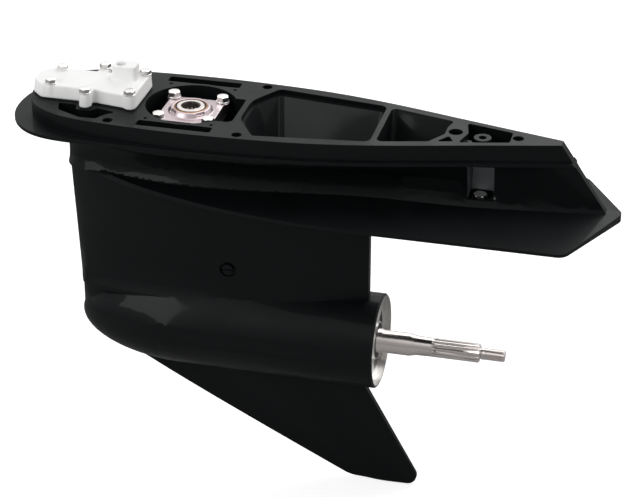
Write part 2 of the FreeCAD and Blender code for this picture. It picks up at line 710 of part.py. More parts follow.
def front_cover_gasket():
    """Flat gasket between the deck and the cover."""
    sheet = prism(rounded_wire(cover_outline(-0.5), 0.0), COVER_FOOT_Z)
    ears = [
        cylinder(COVER_BOSS_R, 0, COVER_FOOT_Z, (x, side * y)) for x, y in COVER_BOLTS for side in (1, -1)
    ]
    room = prism(rounded_wire(room_outline(0), -1.0), COVER_FOOT_Z + 2)
    sheet = sheet.fuse(ears + cover_arms(0, COVER_FOOT_Z)).removeSplitter()
    return sheet.cut([room] + cover_bolt_holes(COVER_FOOT_Z + 1))


def front_cover_bolts():
    bolts = [
        hex_bolt(SCREW_R, COVER_TOP_Z + 12, SCREW_HEAD_R, SCREW_WASHER_R, COVER_TOP_Z, (x, side * y))
        for x, y in COVER_BOLTS for side in (1, -1)
    ]
    return Part.makeCompound(bolts)


# Driveshaft retainer

def bearing_retainer():
    """Square plate with a raised, pocketed boss that holds the driveshaft bearing down."""
    half = RETAINER_HALF
    square = [(-half, -half, 4), (half, -half, 4), (half, half, 4), (-half, half, 4)]
    plate = prism(rounded_wire(square, RETAINER_BOTTOM_Z), RETAINER_TOP_Z - RETAINER_BOTTOM_Z)
    corners = [
        (x, y) for x in (RETAINER_BOLT_X, -RETAINER_BOLT_X) for y in (RETAINER_BOLT_Y, -RETAINER_BOLT_Y)
    ]
    lugs = [cylinder(RETAINER_LUG_R, RETAINER_BOTTOM_Z, RETAINER_TOP_Z, at) for at in corners]
    boss = Part.makeCone(
        RETAINER_BOSS_R, RETAINER_BOSS_R - 4, RETAINER_BOSS_TOP_Z - RETAINER_TOP_Z, V(0, 0, RETAINER_TOP_Z)
    )
    spigot = cylinder(CUP_R - SEAT, CUP_TOP_Z + 1, RETAINER_BOTTOM_Z)
    plate = plate.fuse(lugs + [boss, spigot]).removeSplitter()
    dimple = block((SEAL_R + 2.2, -6, RETAINER_TOP_Z + 1.5), (RETAINER_BOSS_R + 3, 6, 0))
    cuts = around(dimple, 4, V(0, 0, 0), UP, 45)
    cuts.append(cylinder(SEAL_R + FIT, RETAINER_BOSS_TOP_Z - SEAL_DEPTH, 0))
    cuts.append(cylinder(SHAFT_HEAD_R + 1, CUP_TOP_Z, 0))
    cuts.append(cylinder(SHIM_INNER_R, CUP_TOP_Z, RETAINER_BOTTOM_Z + 4))
    cuts += [cylinder(BOLT_R + 0.3, RETAINER_BOTTOM_Z - 1, 0, at) for at in corners]
    return plate.cut(cuts)


def retainer_bolts():
    bolts = [
        hex_bolt(BOLT_R, 27, BOLT_HEAD_R, BOLT_WASHER_R, RETAINER_TOP_Z, (x, y))
        for x in (RETAINER_BOLT_X, -RETAINER_BOLT_X)
        for y in (RETAINER_BOLT_Y, -RETAINER_BOLT_Y)
    ]
    return Part.makeCompound(bolts)


def bearing_shim():
    """Shim that sets the driveshaft bearing's preload."""
    return cylinder(CUP_R - SEAT, CUP_TOP_Z, CUP_TOP_Z + 1).cut(cylinder(SHIM_INNER_R, CUP_BOTTOM_Z, 0))


def driveshaft_seal():
    """Oil seal with its lip on the driveshaft's head."""
    low = RETAINER_BOSS_TOP_Z - SEAL_DEPTH
    ring = cylinder(SEAL_R, low, RETAINER_BOSS_TOP_Z)
    hollow = cylinder(SEAL_R - SEAL_CASE_T, low - 1, low + 3)
    return ring.cut([cylinder(SHAFT_HEAD_R + FIT, low - 1, 0), hollow])


# Rolling bearings

def taper_bearing(bore, cup_r, small_end, large_end, rollers, place):
    """Cup, cone and rollers of a tapered bearing; the rollers widen from small_end to large_end."""
    width = abs(large_end - small_end)
    slant = 0.18 * width
    low_r = bore + 0.3 * (cup_r - bore) - slant / 2
    high_r = low_r + slant
    size = 0.42 * (cup_r - bore)
    ends = (small_end, large_end)
    inset = (large_end - small_end) * 0.12
    cone = place([(bore, ends[0]), (low_r, ends[0]), (high_r, ends[1]), (bore, ends[1])])
    cup = place([
        (low_r + size, ends[0]), (cup_r, ends[0]), (cup_r, ends[1]), (high_r + size, ends[1])
    ])
    rise = slant * 0.12
    a, b = low_r + rise, high_r - rise
    near, far = ends[0] + inset, ends[1] - inset
    return cup, cone, (a, b, near, far, size, rollers)


def tapered_rollers(spec, start, axis, across):
    """Solid rollers between the raceways of a tapered bearing."""
    a, b, near, far, size, count = spec
    middle_low, middle_high = a + size / 2, b + size / 2
    low = start + across * middle_low + axis * near
    high = start + across * middle_high + axis * far
    run = high - low
    radius = size / 2 - 2 * FIT
    roller = Part.makeCylinder(radius, run.Length, low, run)
    return around(roller, count, start, axis)


def forward_of_gears(profile):
    return on_prop_axis(profile, -1)


UPPER_BEARING = taper_bearing(SHAFT_SEAT_R, CUP_R, CUP_BOTTOM_Z, CUP_TOP_Z, 12, turned)
FORWARD_BEARING = taper_bearing(
    FORWARD_HUB_R, FORWARD_CUP_R, FORWARD_HUB_END - 1, GEAR_BACK + 1, 14, forward_of_gears
)


def upper_rollers():
    return Part.makeCompound(tapered_rollers(UPPER_BEARING[2], V(0, 0, 0), UP, AFT))


def forward_rollers():
    return Part.makeCompound(tapered_rollers(FORWARD_BEARING[2], V(0, 0, PROP_Z), AFT * -1, UP))


def needle_bearing(inner, outer, start, end, count, origin, axis, across):
    """Drawn shell with needle rollers inside."""
    wall = 2.0
    shell = Part.makeCylinder(outer, end - start, origin + axis * start, axis).cut(
        Part.makeCylinder(outer - wall, end - start + 2, origin + axis * (start - 1), axis)
    )
    size = (outer - wall - inner) / 2 - FIT
    middle = (outer - wall + inner) / 2
    needle = Part.makeCylinder(size, end - start - 3, origin + across * middle + axis * (start + 1.5), axis)
    return Part.makeCompound([shell] + around(needle, count, origin, axis))


def pinion_bearing():
    return needle_bearing(
        PINION_JOURNAL_R, PINION_BEARING_R, PROP_Z + PINION_BEARING_LOW, PROP_Z + PINION_BEARING_HIGH,
        14, V(0, 0, 0), UP, AFT,
    )


def carrier_needle_bearing():
    return needle_bearing(
        PROP_BODY_R, CARRIER_NEEDLE_R, CARRIER_NEEDLE_X, CARRIER_NEEDLE_END_X, 14, V(0, 0, PROP_Z), AFT, UP,
    )


def ball_bearing_race():
    """Outer race of the reverse gear's ball bearing."""
    start, end = CARRIER_FRONT_X, REVERSE_HUB_END - 1
    ring = rod(BALL_RACE_R, start, end).cut(rod(BALL_OUTER_RACE_R, start - 1, end + 1))
    middle = (start + end) / 2
    groove = Part.makeTorus(BALL_RING_R, BALL_R + 2 * FIT, V(middle, 0, PROP_Z), AFT)
    return ring.cut(groove)


def ball_bearing_inner():
    """Inner race and balls, which turn with the reverse gear."""
    start, end = CARRIER_FRONT_X, REVERSE_HUB_END - 1
    ring = rod(BALL_INNER_RACE_R, start, end).cut(rod(REVERSE_HUB_R + FIT, start - 1, end + 1))
    middle = (start + end) / 2
    ring = ring.cut(Part.makeTorus(BALL_RING_R, BALL_R + 2 * FIT, V(middle, 0, PROP_Z), AFT))
    ball = Part.makeSphere(BALL_R, V(middle, 0, PROP_Z + BALL_RING_R))
    return Part.makeCompound([ring] + around(ball, BALL_COUNT, V(0, 0, PROP_Z), AFT))


# Bevel gears

def space_section(teeth, pitch_r, distance):
    """Outline of one tooth space in a plane square to the pitch cone, for a gear about +Z."""
    cone = math.atan2(pitch_r, math.sqrt(CONE_DISTANCE ** 2 - pitch_r ** 2))
    rise = CONE_DISTANCE * math.cos(cone)
    virtual_r = pitch_r / math.cos(cone)
    base_r = virtual_r * math.cos(PRESSURE_ANGLE)

    def tooth_half_angle(level):
        radius = virtual_r + level
        tilt = math.acos(min(base_r / radius, 1.0))
        involute = math.tan(tilt) - tilt
        start = math.tan(PRESSURE_ANGLE) - PRESSURE_ANGLE
        width = math.pi * math.cos(cone) / (2 * teeth) - BACKLASH / (4 * virtual_r)
        return (width + start - involute) / math.cos(cone)

    levels = (-DEDENDUM, -DEDENDUM * 0.45, 0.0, ADDENDUM * 0.5, ADDENDUM, ADDENDUM * 1.5)
    normal = V(math.sin(cone), 0, math.cos(cone))
    right, left = [], []
    for level in levels:
        turn = math.pi / teeth - tooth_half_angle(level)
        reach = pitch_r + level * math.cos(cone)
        height = rise - level * math.sin(cone)
        for points, side in ((right, 1), (left, -1)):
            ray = V(reach * math.cos(turn), side * reach * math.sin(turn), height)
            points.append(ray * (distance / ray.dot(normal)))
    return Part.makePolygon(right + left[::-1] + right[:1])


def cut_teeth(blank, teeth, pitch_r, first):
    """Straight bevel teeth, cut space by space from a turned blank about +Z with its apex at the origin."""
    wires = [space_section(teeth, pitch_r, CONE_DISTANCE * scale) for scale in (0.55, 1.25)]
    space = Part.makeLoft(wires, True, True)
    return blank.cut(around(space, teeth, V(0, 0, 0), UP, first))


def tooth_corners(pitch_r):
    """Tooth tip at the large and small ends, and the root at the small end, as (radius, height)."""
    cone = math.asin(pitch_r / CONE_DISTANCE)
    rise = CONE_DISTANCE * math.cos(cone)
    scale = (CONE_DISTANCE - FACE_WIDTH) / CONE_DISTANCE
    tip = (pitch_r + ADDENDUM * math.cos(cone), rise - ADDENDUM * math.sin(cone))
    root = (pitch_r - DEDENDUM * math.cos(cone), rise + DEDENDUM * math.sin(cone))
    return tip, (tip[0] * scale, tip[1] * scale), (root[0] * scale, root[1] * scale)


def clutch_lugs(base, tip, inner, outer, first):
    """Ring of square clutch lugs about +Z between two heights."""
    base, tip = sorted((base, tip))
    half = math.radians(LUG_ANGLE / 2)
    reach = outer * 1.3
    wedge = Part.makePolygon([V(0, 0, base), V(reach, reach * math.tan(half), base),
                              V(reach, -reach * math.tan(half), base), V(0, 0, base)])
    lug = Part.Face(wedge).extrude(V(0, 0, tip - base))
    lug = lug.common(cylinder(outer, base, tip).cut(cylinder(inner, base, tip)))
    return around(lug, LUG_COUNT, V(0, 0, 0), UP, first)


def driven_gear(hub_r, hub_end, side):
    """Driven bevel gear with clutch lugs on its face and a bearing hub behind; side is 1 for the aft one."""
    tip, tip_small, root_small = tooth_corners(GEAR_PITCH_R)
    profile = [
        (GEAR_BUSH_R, GEAR_HUB_FACE), (29.5, GEAR_HUB_FACE), (29.5, root_small[1] + 1.0),
        (root_small[0] - 1.0, root_small[1] + 1.0), tip_small, tip,
        (GEAR_PITCH_R - 3, tip[1] + 8), (GEAR_PITCH_R - 6, GEAR_BACK - 1),
        (hub_r, GEAR_BACK - 1), (hub_r, hub_end), (GEAR_BUSH_R, hub_end),
    ]
    gear = cut_teeth(turned(profile), GEAR_TEETH, GEAR_PITCH_R, 0)
    lugs = clutch_lugs(GEAR_HUB_FACE, GEAR_LUG_TIP, LUG_INNER_R, LUG_OUTER_R, LUG_OFFSET * side)
    gear = gear.fuse(lugs)
    gear.rotate(V(0, 0, 0), ACROSS, 90 * side)
    gear.translate(V(0, 0, PROP_Z))
    return gear


def pinion_gear():
    """Driveshaft pinion: toothed cone, a seat on the shaft and a recess for its nut."""
    tip, tip_small, root_small = tooth_corners(PINION_PITCH_R)
    top = PINION_BEARING_LOW - 1.5
    profile = [
        (PINION_BORE_R + 0.02, top), (20.5, top), (20.5, 50.5), (22.5, tip[1] + 2.6), tip, tip_small,
        (root_small[0], root_small[1]), (12.4, root_small[1]), (12.4, 44.0), (PINION_NUT_R + 0.3, 44.0),
        (PINION_NUT_R + 0.3, 46.0), (PINION_BORE_R + 0.02, 46.0),
    ]
    gear = cut_teeth(turned(profile), PINION_TEETH, PINION_PITCH_R, 180.0 / PINION_TEETH)
    gear.translate(V(0, 0, PROP_Z))
    return gear


def pinion_nut():
    nut = hex_prism(PINION_NUT_CORNER_R, PROP_Z + 37.0, PROP_Z + 44.0, (0, 0))
    return nut.cut(cylinder(PINION_NUT_R + 0.02, PROP_Z, PROP_Z + 60))


# Driveshaft

def driveshaft():
    """Hollow-headed shaft: splined socket, bearing seat, plain shank, needle journal and pinion seat."""
    low = PROP_Z + 34.0
    profile = [
        (0, low), (PINION_NUT_R, low), (PINION_NUT_R, PROP_Z + 46), (PINION_BORE_R, PROP_Z + 46),
        (PINION_BORE_R, PROP_Z + PINION_BEARING_LOW - 1.5),
        (PINION_JOURNAL_R - FIT, PROP_Z + PINION_BEARING_LOW - 1.5),
        (PINION_JOURNAL_R - FIT, PROP_Z + 86), (SHAFT_R, PROP_Z + 90), (SHAFT_R, -76), (SHAFT_SEAT_R, -72),
        (SHAFT_SEAT_R, CUP_TOP_Z), (SHAFT_HEAD_R, CUP_TOP_Z), (SHAFT_HEAD_R, SHAFT_TOP_Z - 0.8),
        (SHAFT_HEAD_R - 0.8, SHAFT_TOP_Z), (0, SHAFT_TOP_Z),
    ]
    shaft = turned(profile)
    pilot = cylinder(SOCKET_R, SHAFT_TOP_Z - SOCKET_PILOT, SHAFT_TOP_Z + 1)
    socket = cylinder(SOCKET_R - 1.8, SHAFT_TOP_Z - SOCKET_DEPTH, SHAFT_TOP_Z)
    width = math.pi * SOCKET_R / SOCKET_TEETH
    slot = block((0, -width / 2, SHAFT_TOP_Z - SOCKET_DEPTH + 6), (SOCKET_R - 0.2, width / 2, SHAFT_TOP_Z - 5))
    return shaft.cut([pilot, socket] + around(slot, SOCKET_TEETH, V(0, 0, 0), UP))


# Propeller shaft

def propeller_shaft():
    """Stepped shaft with a plunger bore, a pin slot and clutch splines, and a splined, threaded tail."""
    profile = [
        (0, SHAFT_FRONT_X), (SHAFT_R - 1, SHAFT_FRONT_X), (SHAFT_R, SHAFT_FRONT_X + 1), (SHAFT_R, SHOULDER_X),
        (PROP_BODY_R, SHOULDER_X + 2), (PROP_BODY_R, PROP_STEP_X), (JOURNAL_R, PROP_STEP_X + 1.2),
        (JOURNAL_R, JOURNAL_END_X), (13.0, TAPER_END_X), (SPLINE_R, SPLINE_START_X),
        (SPLINE_R, SPLINE_END_X - 1.5), (SPLINE_R - 1.5, SPLINE_END_X),
        (THREAD_R - 1, SPLINE_END_X), (THREAD_R - 1, SPLINE_END_X + 2), (THREAD_R, SPLINE_END_X + 3),
        (THREAD_R, SHAFT_END_X - 1.5), (THREAD_R - 1.5, SHAFT_END_X), (0, SHAFT_END_X),
    ]
    shaft = on_prop_axis(profile)
    width = math.pi * SPLINE_R / SPLINE_TEETH
    full_x = SPLINE_START_X + math.sqrt(2 * SPLINE_RUNOUT_R * (SPLINE_R - SPLINE_ROOT_R))
    groove = block((full_x, -width / 2, SPLINE_ROOT_R), (SPLINE_END_X + 1, width / 2, SPLINE_R + 3))
    groove.translate(V(0, 0, PROP_Z))
    centre = V(full_x, -width / 2, PROP_Z + SPLINE_ROOT_R + SPLINE_RUNOUT_R)
    runout = Part.makeCylinder(SPLINE_RUNOUT_R, width, centre, ACROSS)
    runout = runout.common(block((full_x - 20, -width, PROP_Z), (full_x, width, PROP_Z + SPLINE_R + 3)))
    cuts = around(groove.fuse(runout), SPLINE_TEETH, V(0, 0, PROP_Z), AFT)
    slot_half = CLUTCH_THROW + CROSS_PIN_R + 0.4
    pin_way = block((-slot_half, -40, -CROSS_PIN_R - 0.2), (slot_half, 40, CROSS_PIN_R + 0.2))
    pin_way.translate(V(0, 0, PROP_Z))
    cuts.append(pin_way)
    cuts.append(rod(PLUNGER_R + SEAT, SHAFT_FRONT_X - 1, PLUNGER_BORE_END_X))
    return shaft.cut(cuts)


def gear_bush(side):
    """Bronze bush between a driven gear and the propeller shaft."""
    start, end = GEAR_HUB_FACE + 1, GEAR_BUSH_END
    profile = [(SHAFT_R + FIT, start), (GEAR_BUSH_R, start), (GEAR_BUSH_R, end), (SHAFT_R + FIT, end)]
    return on_prop_axis(profile, side)


def thrust_washer():
    """Hardened washer between the reverse gear's hub and the shaft's shoulder."""
    return rod(THRUST_WASHER_R, REVERSE_HUB_END + GAP, THRUST_WASHER_END).cut(
        rod(SHAFT_R + FIT, REVERSE_HUB_END, THRUST_WASHER_END + 1)
    )


# Clutch and shift linkage

def clutch_dog():
    """Sliding dog with lugs on both faces, a spring groove and a cross hole for its pin."""
    ring = cylinder(LUG_OUTER_R, -DOG_HALF, DOG_HALF)
    lugs = clutch_lugs(DOG_HALF, DOG_LUG_TIP, LUG_INNER_R, LUG_OUTER_R, 0)
    lugs += clutch_lugs(-DOG_HALF, -DOG_LUG_TIP, LUG_INNER_R, LUG_OUTER_R, 0)
    dog = ring.fuse(lugs)
    groove = cylinder(LUG_OUTER_R + 1, -3.6, 3.6).cut(cylinder(LUG_OUTER_R - 2.6, -4, 4))
    hole = Part.makeCylinder(CROSS_PIN_R + 0.02, 80, V(0, -40, 0), ACROSS)
    dog = dog.cut([groove, hole, cylinder(SHAFT_R + FIT, -20, 20)])
    dog.rotate(V(0, 0, 0), ACROSS, 90)
    dog.translate(V(0, 0, PROP_Z))
    return dog


def cross_pin():
    """Pin that ties the dog to the plunger through the shaft's slot."""
    reach = LUG_OUTER_R - 2.7
    return Part.makeCylinder(CROSS_PIN_R, 2 * reach, V(0, -reach, PROP_Z), ACROSS)


def pin_spring():
    """Wire ring in the dog's groove that keeps the pin in."""
    return Part.makeTorus(LUG_OUTER_R - 1.5, RING_WIRE_R, V(0, 0, PROP_Z), AFT)


def clutch_plunger():
    """Rod inside the propeller shaft, with a necked head that turns in the shift spool."""
    start = SHIFT_X + 11.0
    profile = [(0, start), (5.6, start), (PLUNGER_R, start + 0.5), (PLUNGER_R, start + 4),
               (PLUNGER_NECK_R, start + 4), (PLUNGER_NECK_R, start + 9), (PLUNGER_R, start + 9),
               (PLUNGER_R, 11), (0, 11)]
    plunger = on_prop_axis(profile)
    return plunger.cut(Part.makeCylinder(CROSS_PIN_R + 0.02, 80, V(0, -40, PROP_Z), ACROSS))


def shift_spool():
    """Grooved spool that the crank's pin moves along the shaft axis."""
    half = CRANK_PIN_R + GAP
    head = 10.0
    profile = [
        (0, SHIFT_X - half - 4), (SPOOL_R, SHIFT_X - half - 4), (SPOOL_R, SHIFT_X - half),
        (6.0, SHIFT_X - half), (6.0, SHIFT_X + half), (SPOOL_R, SHIFT_X + half),
        (SPOOL_R, SHIFT_X + half + 4), (head, SHIFT_X + half + 5), (head, SHIFT_X + 19.7),
        (4.6, SHIFT_X + 19.7), (4.6, SHIFT_X + 15.3), (PLUNGER_R + SEAT, SHIFT_X + 15.3),
        (PLUNGER_R + SEAT, SHIFT_X + 10.7), (0, SHIFT_X + 10.7),
    ]
    return on_prop_axis(profile)


def shift_shaft():
    """Upright shift rod with a flatted head under the cover's port."""
    at = (SHIFT_X, SHIFT_Y)
    shaft = cylinder(SHIFT_ROD_R, PROP_Z + CRANK_LOW, SHIFT_TOP_Z, at)
    flats = [
        block((SHIFT_X + 3.6, SHIFT_Y - 8, SHIFT_TOP_Z - 12), (SHIFT_X + 8, SHIFT_Y + 8, SHIFT_TOP_Z + 1)),
        block((SHIFT_X - 8, SHIFT_Y - 8, SHIFT_TOP_Z - 12), (SHIFT_X - 3.6, SHIFT_Y + 8, SHIFT_TOP_Z + 1)),
    ]
    return shaft.cut(flats)


def shift_crank():
    """Crank on the rod's foot, with an eccentric pin in the spool's groove."""
    low, high = PROP_Z + CRANK_LOW, PROP_Z + CRANK_HIGH
    hub = cylinder(8.0, low, high, (SHIFT_X, SHIFT_Y))
    arm = block((SHIFT_X - 5, 0, low), (SHIFT_X + 5, SHIFT_Y, high))
    tip = cylinder(5.0, low, high, (SHIFT_X, 0))
    pin = cylinder(CRANK_PIN_R, PROP_Z + 7.0, low, (SHIFT_X, 0))
    crank = hub.fuse([arm, tip, pin]).removeSplitter()
    return crank.cut(cylinder(SHIFT_ROD_R + 0.02, low - 1, high + 1, (SHIFT_X, SHIFT_Y)))


def shift_bush():
    """Sealed bush that carries the top of the shift rod."""
    at = (SHIFT_X, SHIFT_Y)
    bush = cylinder(SHIFT_BUSH_R, POCKET_FLOOR_Z - 15, POCKET_FLOOR_Z, at)
    collar = cylinder(SHIFT_BUSH_R + 1.8, POCKET_FLOOR_Z, POCKET_FLOOR_Z + 3, at)
    return bush.fuse(collar).removeSplitter().cut(cylinder(SHIFT_ROD_R + FIT, -60, 0, at))


# Bearing carrier and its small parts

def bearing_carrier():
    """Machined carrier: bearing bell forward, long hub, and an aft disc with four exhaust windows."""
    bell_r = GEAR_ROOM_R - SEAT
    seat = THRUST_WASHER_END + GAP
    profile = [
        (BALL_RACE_R + FIT, CARRIER_FRONT_X), (bell_r, CARRIER_FRONT_X), (bell_r, CARRIER_FLANGE_END_X - 4),
        (CARRIER_HUB_R, CARRIER_FLANGE_END_X + 8), (CARRIER_HUB_R, CARRIER_AFT_X - CARRIER_DISC_T),
        (CARRIER_DISC_R, CARRIER_AFT_X - CARRIER_DISC_T), (CARRIER_DISC_R, CARRIER_AFT_X),
        (PROP_BODY_R + 10, CARRIER_AFT_X), (PROP_BODY_R + 9, CARRIER_AFT_X + 4),
        (SHAFT_SEAL_R + FIT, CARRIER_AFT_X + 4), (SHAFT_SEAL_R + FIT, SHAFT_SEAL_X),
        (PROP_BODY_R + 1.2, SHAFT_SEAL_X),
        (PROP_BODY_R + 1.2, CARRIER_NEEDLE_END_X + 1), (CARRIER_NEEDLE_R + FIT, CARRIER_NEEDLE_END_X),
        (CARRIER_NEEDLE_R + FIT, CARRIER_NEEDLE_X), (PROP_BODY_R + 1.2, CARRIER_NEEDLE_X),
        (PROP_BODY_R + 1.2, seat + 6), (CARRIER_HUB_R, seat + 2), (CARRIER_HUB_R, REVERSE_HUB_END - 1),
        (BALL_RACE_R + FIT, REVERSE_HUB_END - 1),
    ]
    carrier = on_prop_axis(profile)
    sector = rod(WINDOW_OUTER_R, CARRIER_AFT_X - 30, CARRIER_AFT_X + 1)
    sector = sector.cut(rod(WINDOW_INNER_R, CARRIER_AFT_X - 31, CARRIER_AFT_X + 2))
    half = math.radians(WINDOW_ANGLE / 2)
    reach = 80.0
    wedge = Part.makePolygon([
        V(0, 0, PROP_Z), V(0, reach, PROP_Z + reach * math.tan(half)),
        V(0, reach, PROP_Z - reach * math.tan(half)), V(0, 0, PROP_Z),
    ])
    window = Part.Face(wedge).extrude(V(300, 0, 0)).common(sector)
    grooves = [
        rod(bell_r + 1, x, x + O_RING_GROOVE).cut(
            rod(bell_r - 2 * O_RING_WIRE_R, x - 1, x + O_RING_GROOVE + 1)
        )
        for x in O_RING_X
    ]
    windows = around(window, 4, V(0, 0, PROP_Z), AFT, WINDOW_TURN)
    return carrier.cut(windows + grooves)


def carrier_o_rings():
    ring_r = GEAR_ROOM_R - O_RING_WIRE_R - FIT
    rings = [
        Part.makeTorus(ring_r, O_RING_WIRE_R, V(x + O_RING_GROOVE / 2, 0, PROP_Z), AFT) for x in O_RING_X
    ]
    return Part.makeCompound(rings)


def carrier_ring_nut():
    """Threaded ring that holds the carrier in the torpedo, with four spanner notches."""
    start = CARRIER_AFT_X - CARRIER_DISC_T
    ring = rod(RIM_BORE_R - SEAT, start, CARRIER_AFT_X)
    ring = ring.cut(rod(CARRIER_DISC_R + SEAT, start - 1, CARRIER_AFT_X + 1))
    notch = block((CARRIER_AFT_X - 4, -4, PROP_Z + 55), (CARRIER_AFT_X + 1, 4, PROP_Z + 70))
    return ring.cut(around(notch, 4, V(0, 0, PROP_Z), AFT, 45))


def propeller_shaft_seals():
    """Two lip seals back to back in the carrier's tail."""
    seals = []
    for start in (SHAFT_SEAL_X, SHAFT_SEAL_X + SHAFT_SEAL_PITCH):
        ring = rod(SHAFT_SEAL_R, start, start + SHAFT_SEAL_T)
        seals.append(ring.cut(rod(PROP_BODY_R + FIT, start - 1, start + SHAFT_SEAL_T + 1)))
    return Part.makeCompound(seals)


def trim_tab():
    """Trim tab: a disc that turns under the plate, with a small rudder-shaped fin below."""
    top = TAB_FACE_Z - GAP
    disc = cylinder(TAB_DISC_R, top - 9, top, (TAB_X, 0))
    fin = Part.makeLoft(
        [
            hull_wire(
                TAB_X - 30, [(TAB_X - 18, 6.5), (TAB_X + 6, 8), (TAB_X + 38, 5)], TAB_X + 66, 1.6, top - 8
            ),
            hull_wire(
                TAB_X - 8, [(TAB_X + 2, 4.5), (TAB_X + 22, 5.5), (TAB_X + 48, 3.6)], TAB_X + 72, 1.4, TAB_FOOT_Z
            ),
        ],
        True,
        True,
    )
    tab = disc.fuse(fin).removeSplitter()
    return tab.cut(cylinder(TAB_BOLT_R + 0.02, top - 22, top + 1, (TAB_X, 0)))


def trim_tab_bolt():
    """Bolt that clamps the tab from the window's counterbore."""
    return hex_bolt(TAB_BOLT_R, TAB_SEAT_Z - TAB_FACE_Z + 22, 9.2, 10.5, TAB_SEAT_Z + GAP, (TAB_X, 0))


def oil_plug(place):
    """Slotted oil plug, seated on its spot face."""
    x, z, side, face = place
    out = ACROSS * side
    seat = V(x, side * (face + PLUG_GASKET_T), z)
    head = Part.makeCone(PLUG_HEAD_R, PLUG_HEAD_R - 0.6, PLUG_HEAD_T, seat, out)
    shank = Part.makeCylinder(PLUG_R, PLUG_LENGTH, seat, out * -1)
    rim = face + PLUG_GASKET_T + PLUG_HEAD_T
    slot = Part.makeBox(20, 4, 2, V(x - 10, side * rim - 2, z - 1))
    return head.fuse(shank).removeSplitter().cut(slot)


def plug_gaskets():
    rings = []
    for x, z, side, face in (LEVEL_PLUG, DRAIN_PLUG):
        out = ACROSS * side
        ring = Part.makeCylinder(PLUG_GASKET_R, PLUG_GASKET_T, V(x, side * face, z), out)
        rings.append(ring.cut(Part.makeCylinder(PLUG_R + GAP, 3.0, V(x, side * (face - 1), z), out)))
    return Part.makeCompound(rings)


def main():
    os.makedirs("parts", exist_ok=True)
    pieces = {
        "gearcase_housing": gearcase_housing(),
        "front_cover": front_cover(),
        "front_cover_gasket": front_cover_gasket(),
        "front_cover_bolts": front_cover_bolts(),
        "bearing_retainer": bearing_retainer(),
        "retainer_bolts": retainer_bolts(),
        "bearing_shim": bearing_shim(),
        "driveshaft_seal": driveshaft_seal(),
        "driveshaft_bearing_cup": UPPER_BEARING[0],
        "driveshaft_bearing_cone": UPPER_BEARING[1],
        "driveshaft_bearing_rollers": upper_rollers(),
        "driveshaft": driveshaft(),
        "pinion_bearing": pinion_bearing(),
        "pinion_gear": pinion_gear(),
        "pinion_nut": pinion_nut(),
        "forward_gear": driven_gear(FORWARD_HUB_R, FORWARD_HUB_END, -1),
        "forward_gear_bush": gear_bush(-1),
        "forward_bearing_cup": FORWARD_BEARING[0],
        "forward_bearing_cone": FORWARD_BEARING[1],
        "forward_bearing_rollers": forward_rollers(),
        "reverse_gear": driven_gear(REVERSE_HUB_R, REVERSE_HUB_END, 1),
        "reverse_gear_bush": gear_bush(1),
        "reverse_bearing_race": ball_bearing_race(),
        "reverse_bearing_balls": ball_bearing_inner(),
        "reverse_thrust_washer": thrust_washer(),
        "propeller_shaft": propeller_shaft(),
        "clutch_dog": clutch_dog(),
        "clutch_cross_pin": cross_pin(),
        "clutch_pin_spring": pin_spring(),
        "clutch_plunger": clutch_plunger(),
        "shift_spool": shift_spool(),
        "shift_shaft": shift_shaft(),
        "shift_crank": shift_crank(),
        "shift_bush": shift_bush(),
        "bearing_carrier": bearing_carrier(),
        "carrier_o_rings": carrier_o_rings(),
        "carrier_needle_bearing": carrier_needle_bearing(),
        "carrier_ring_nut": carrier_ring_nut(),
        "propeller_shaft_seals": propeller_shaft_seals(),
        "oil_level_plug": oil_plug(LEVEL_PLUG),
        "oil_drain_plug": oil_plug(DRAIN_PLUG),
        "oil_plug_gaskets": plug_gaskets(),
        "trim_tab": trim_tab(),
        "trim_tab_bolt": trim_tab_bolt(),
    }
    for name, shape in pieces.items():
        if not shape.isValid() or shape.Volume <= 0:
            print("check", name, shape.isValid(), round(shape.Volume, 1))
        shape.exportStep("parts/" + name + ".step")
    print(len(pieces), "nodes written")


main()
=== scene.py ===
import math

import bmesh
import bpy
import numpy
from mathutils import Matrix, Vector


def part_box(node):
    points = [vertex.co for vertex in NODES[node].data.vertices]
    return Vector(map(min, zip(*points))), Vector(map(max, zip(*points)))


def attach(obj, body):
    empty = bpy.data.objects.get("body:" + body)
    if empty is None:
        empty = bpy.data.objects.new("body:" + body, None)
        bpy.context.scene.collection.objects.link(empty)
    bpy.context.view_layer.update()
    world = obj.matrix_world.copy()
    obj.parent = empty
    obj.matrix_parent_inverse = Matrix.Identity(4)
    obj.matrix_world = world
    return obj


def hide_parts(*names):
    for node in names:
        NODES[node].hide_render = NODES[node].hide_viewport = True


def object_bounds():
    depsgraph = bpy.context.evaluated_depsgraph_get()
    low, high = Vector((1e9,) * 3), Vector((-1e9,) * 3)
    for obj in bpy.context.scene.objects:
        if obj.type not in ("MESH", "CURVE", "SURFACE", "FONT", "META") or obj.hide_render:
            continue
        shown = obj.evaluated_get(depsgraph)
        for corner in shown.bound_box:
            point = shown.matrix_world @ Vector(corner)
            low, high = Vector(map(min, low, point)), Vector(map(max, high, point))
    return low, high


bl_info = {
    "name": "Lower unit visual model",
    "version": (1, 0, 0),
    "blender": (4, 5, 0),
    "location": "3D View > Sidebar > Lower unit",
    "description": "Castings, fasteners, a thread, paint and a studio over the lower unit's construction",
    "category": "Object",
}

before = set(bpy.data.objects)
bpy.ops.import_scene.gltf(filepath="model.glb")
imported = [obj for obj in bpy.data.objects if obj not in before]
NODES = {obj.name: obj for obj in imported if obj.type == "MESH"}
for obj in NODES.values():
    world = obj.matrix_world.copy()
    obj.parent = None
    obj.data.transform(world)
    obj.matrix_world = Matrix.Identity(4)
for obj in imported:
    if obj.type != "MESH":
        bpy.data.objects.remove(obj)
CAD_BOX = [list(corner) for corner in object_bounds()]
MM = 0.001

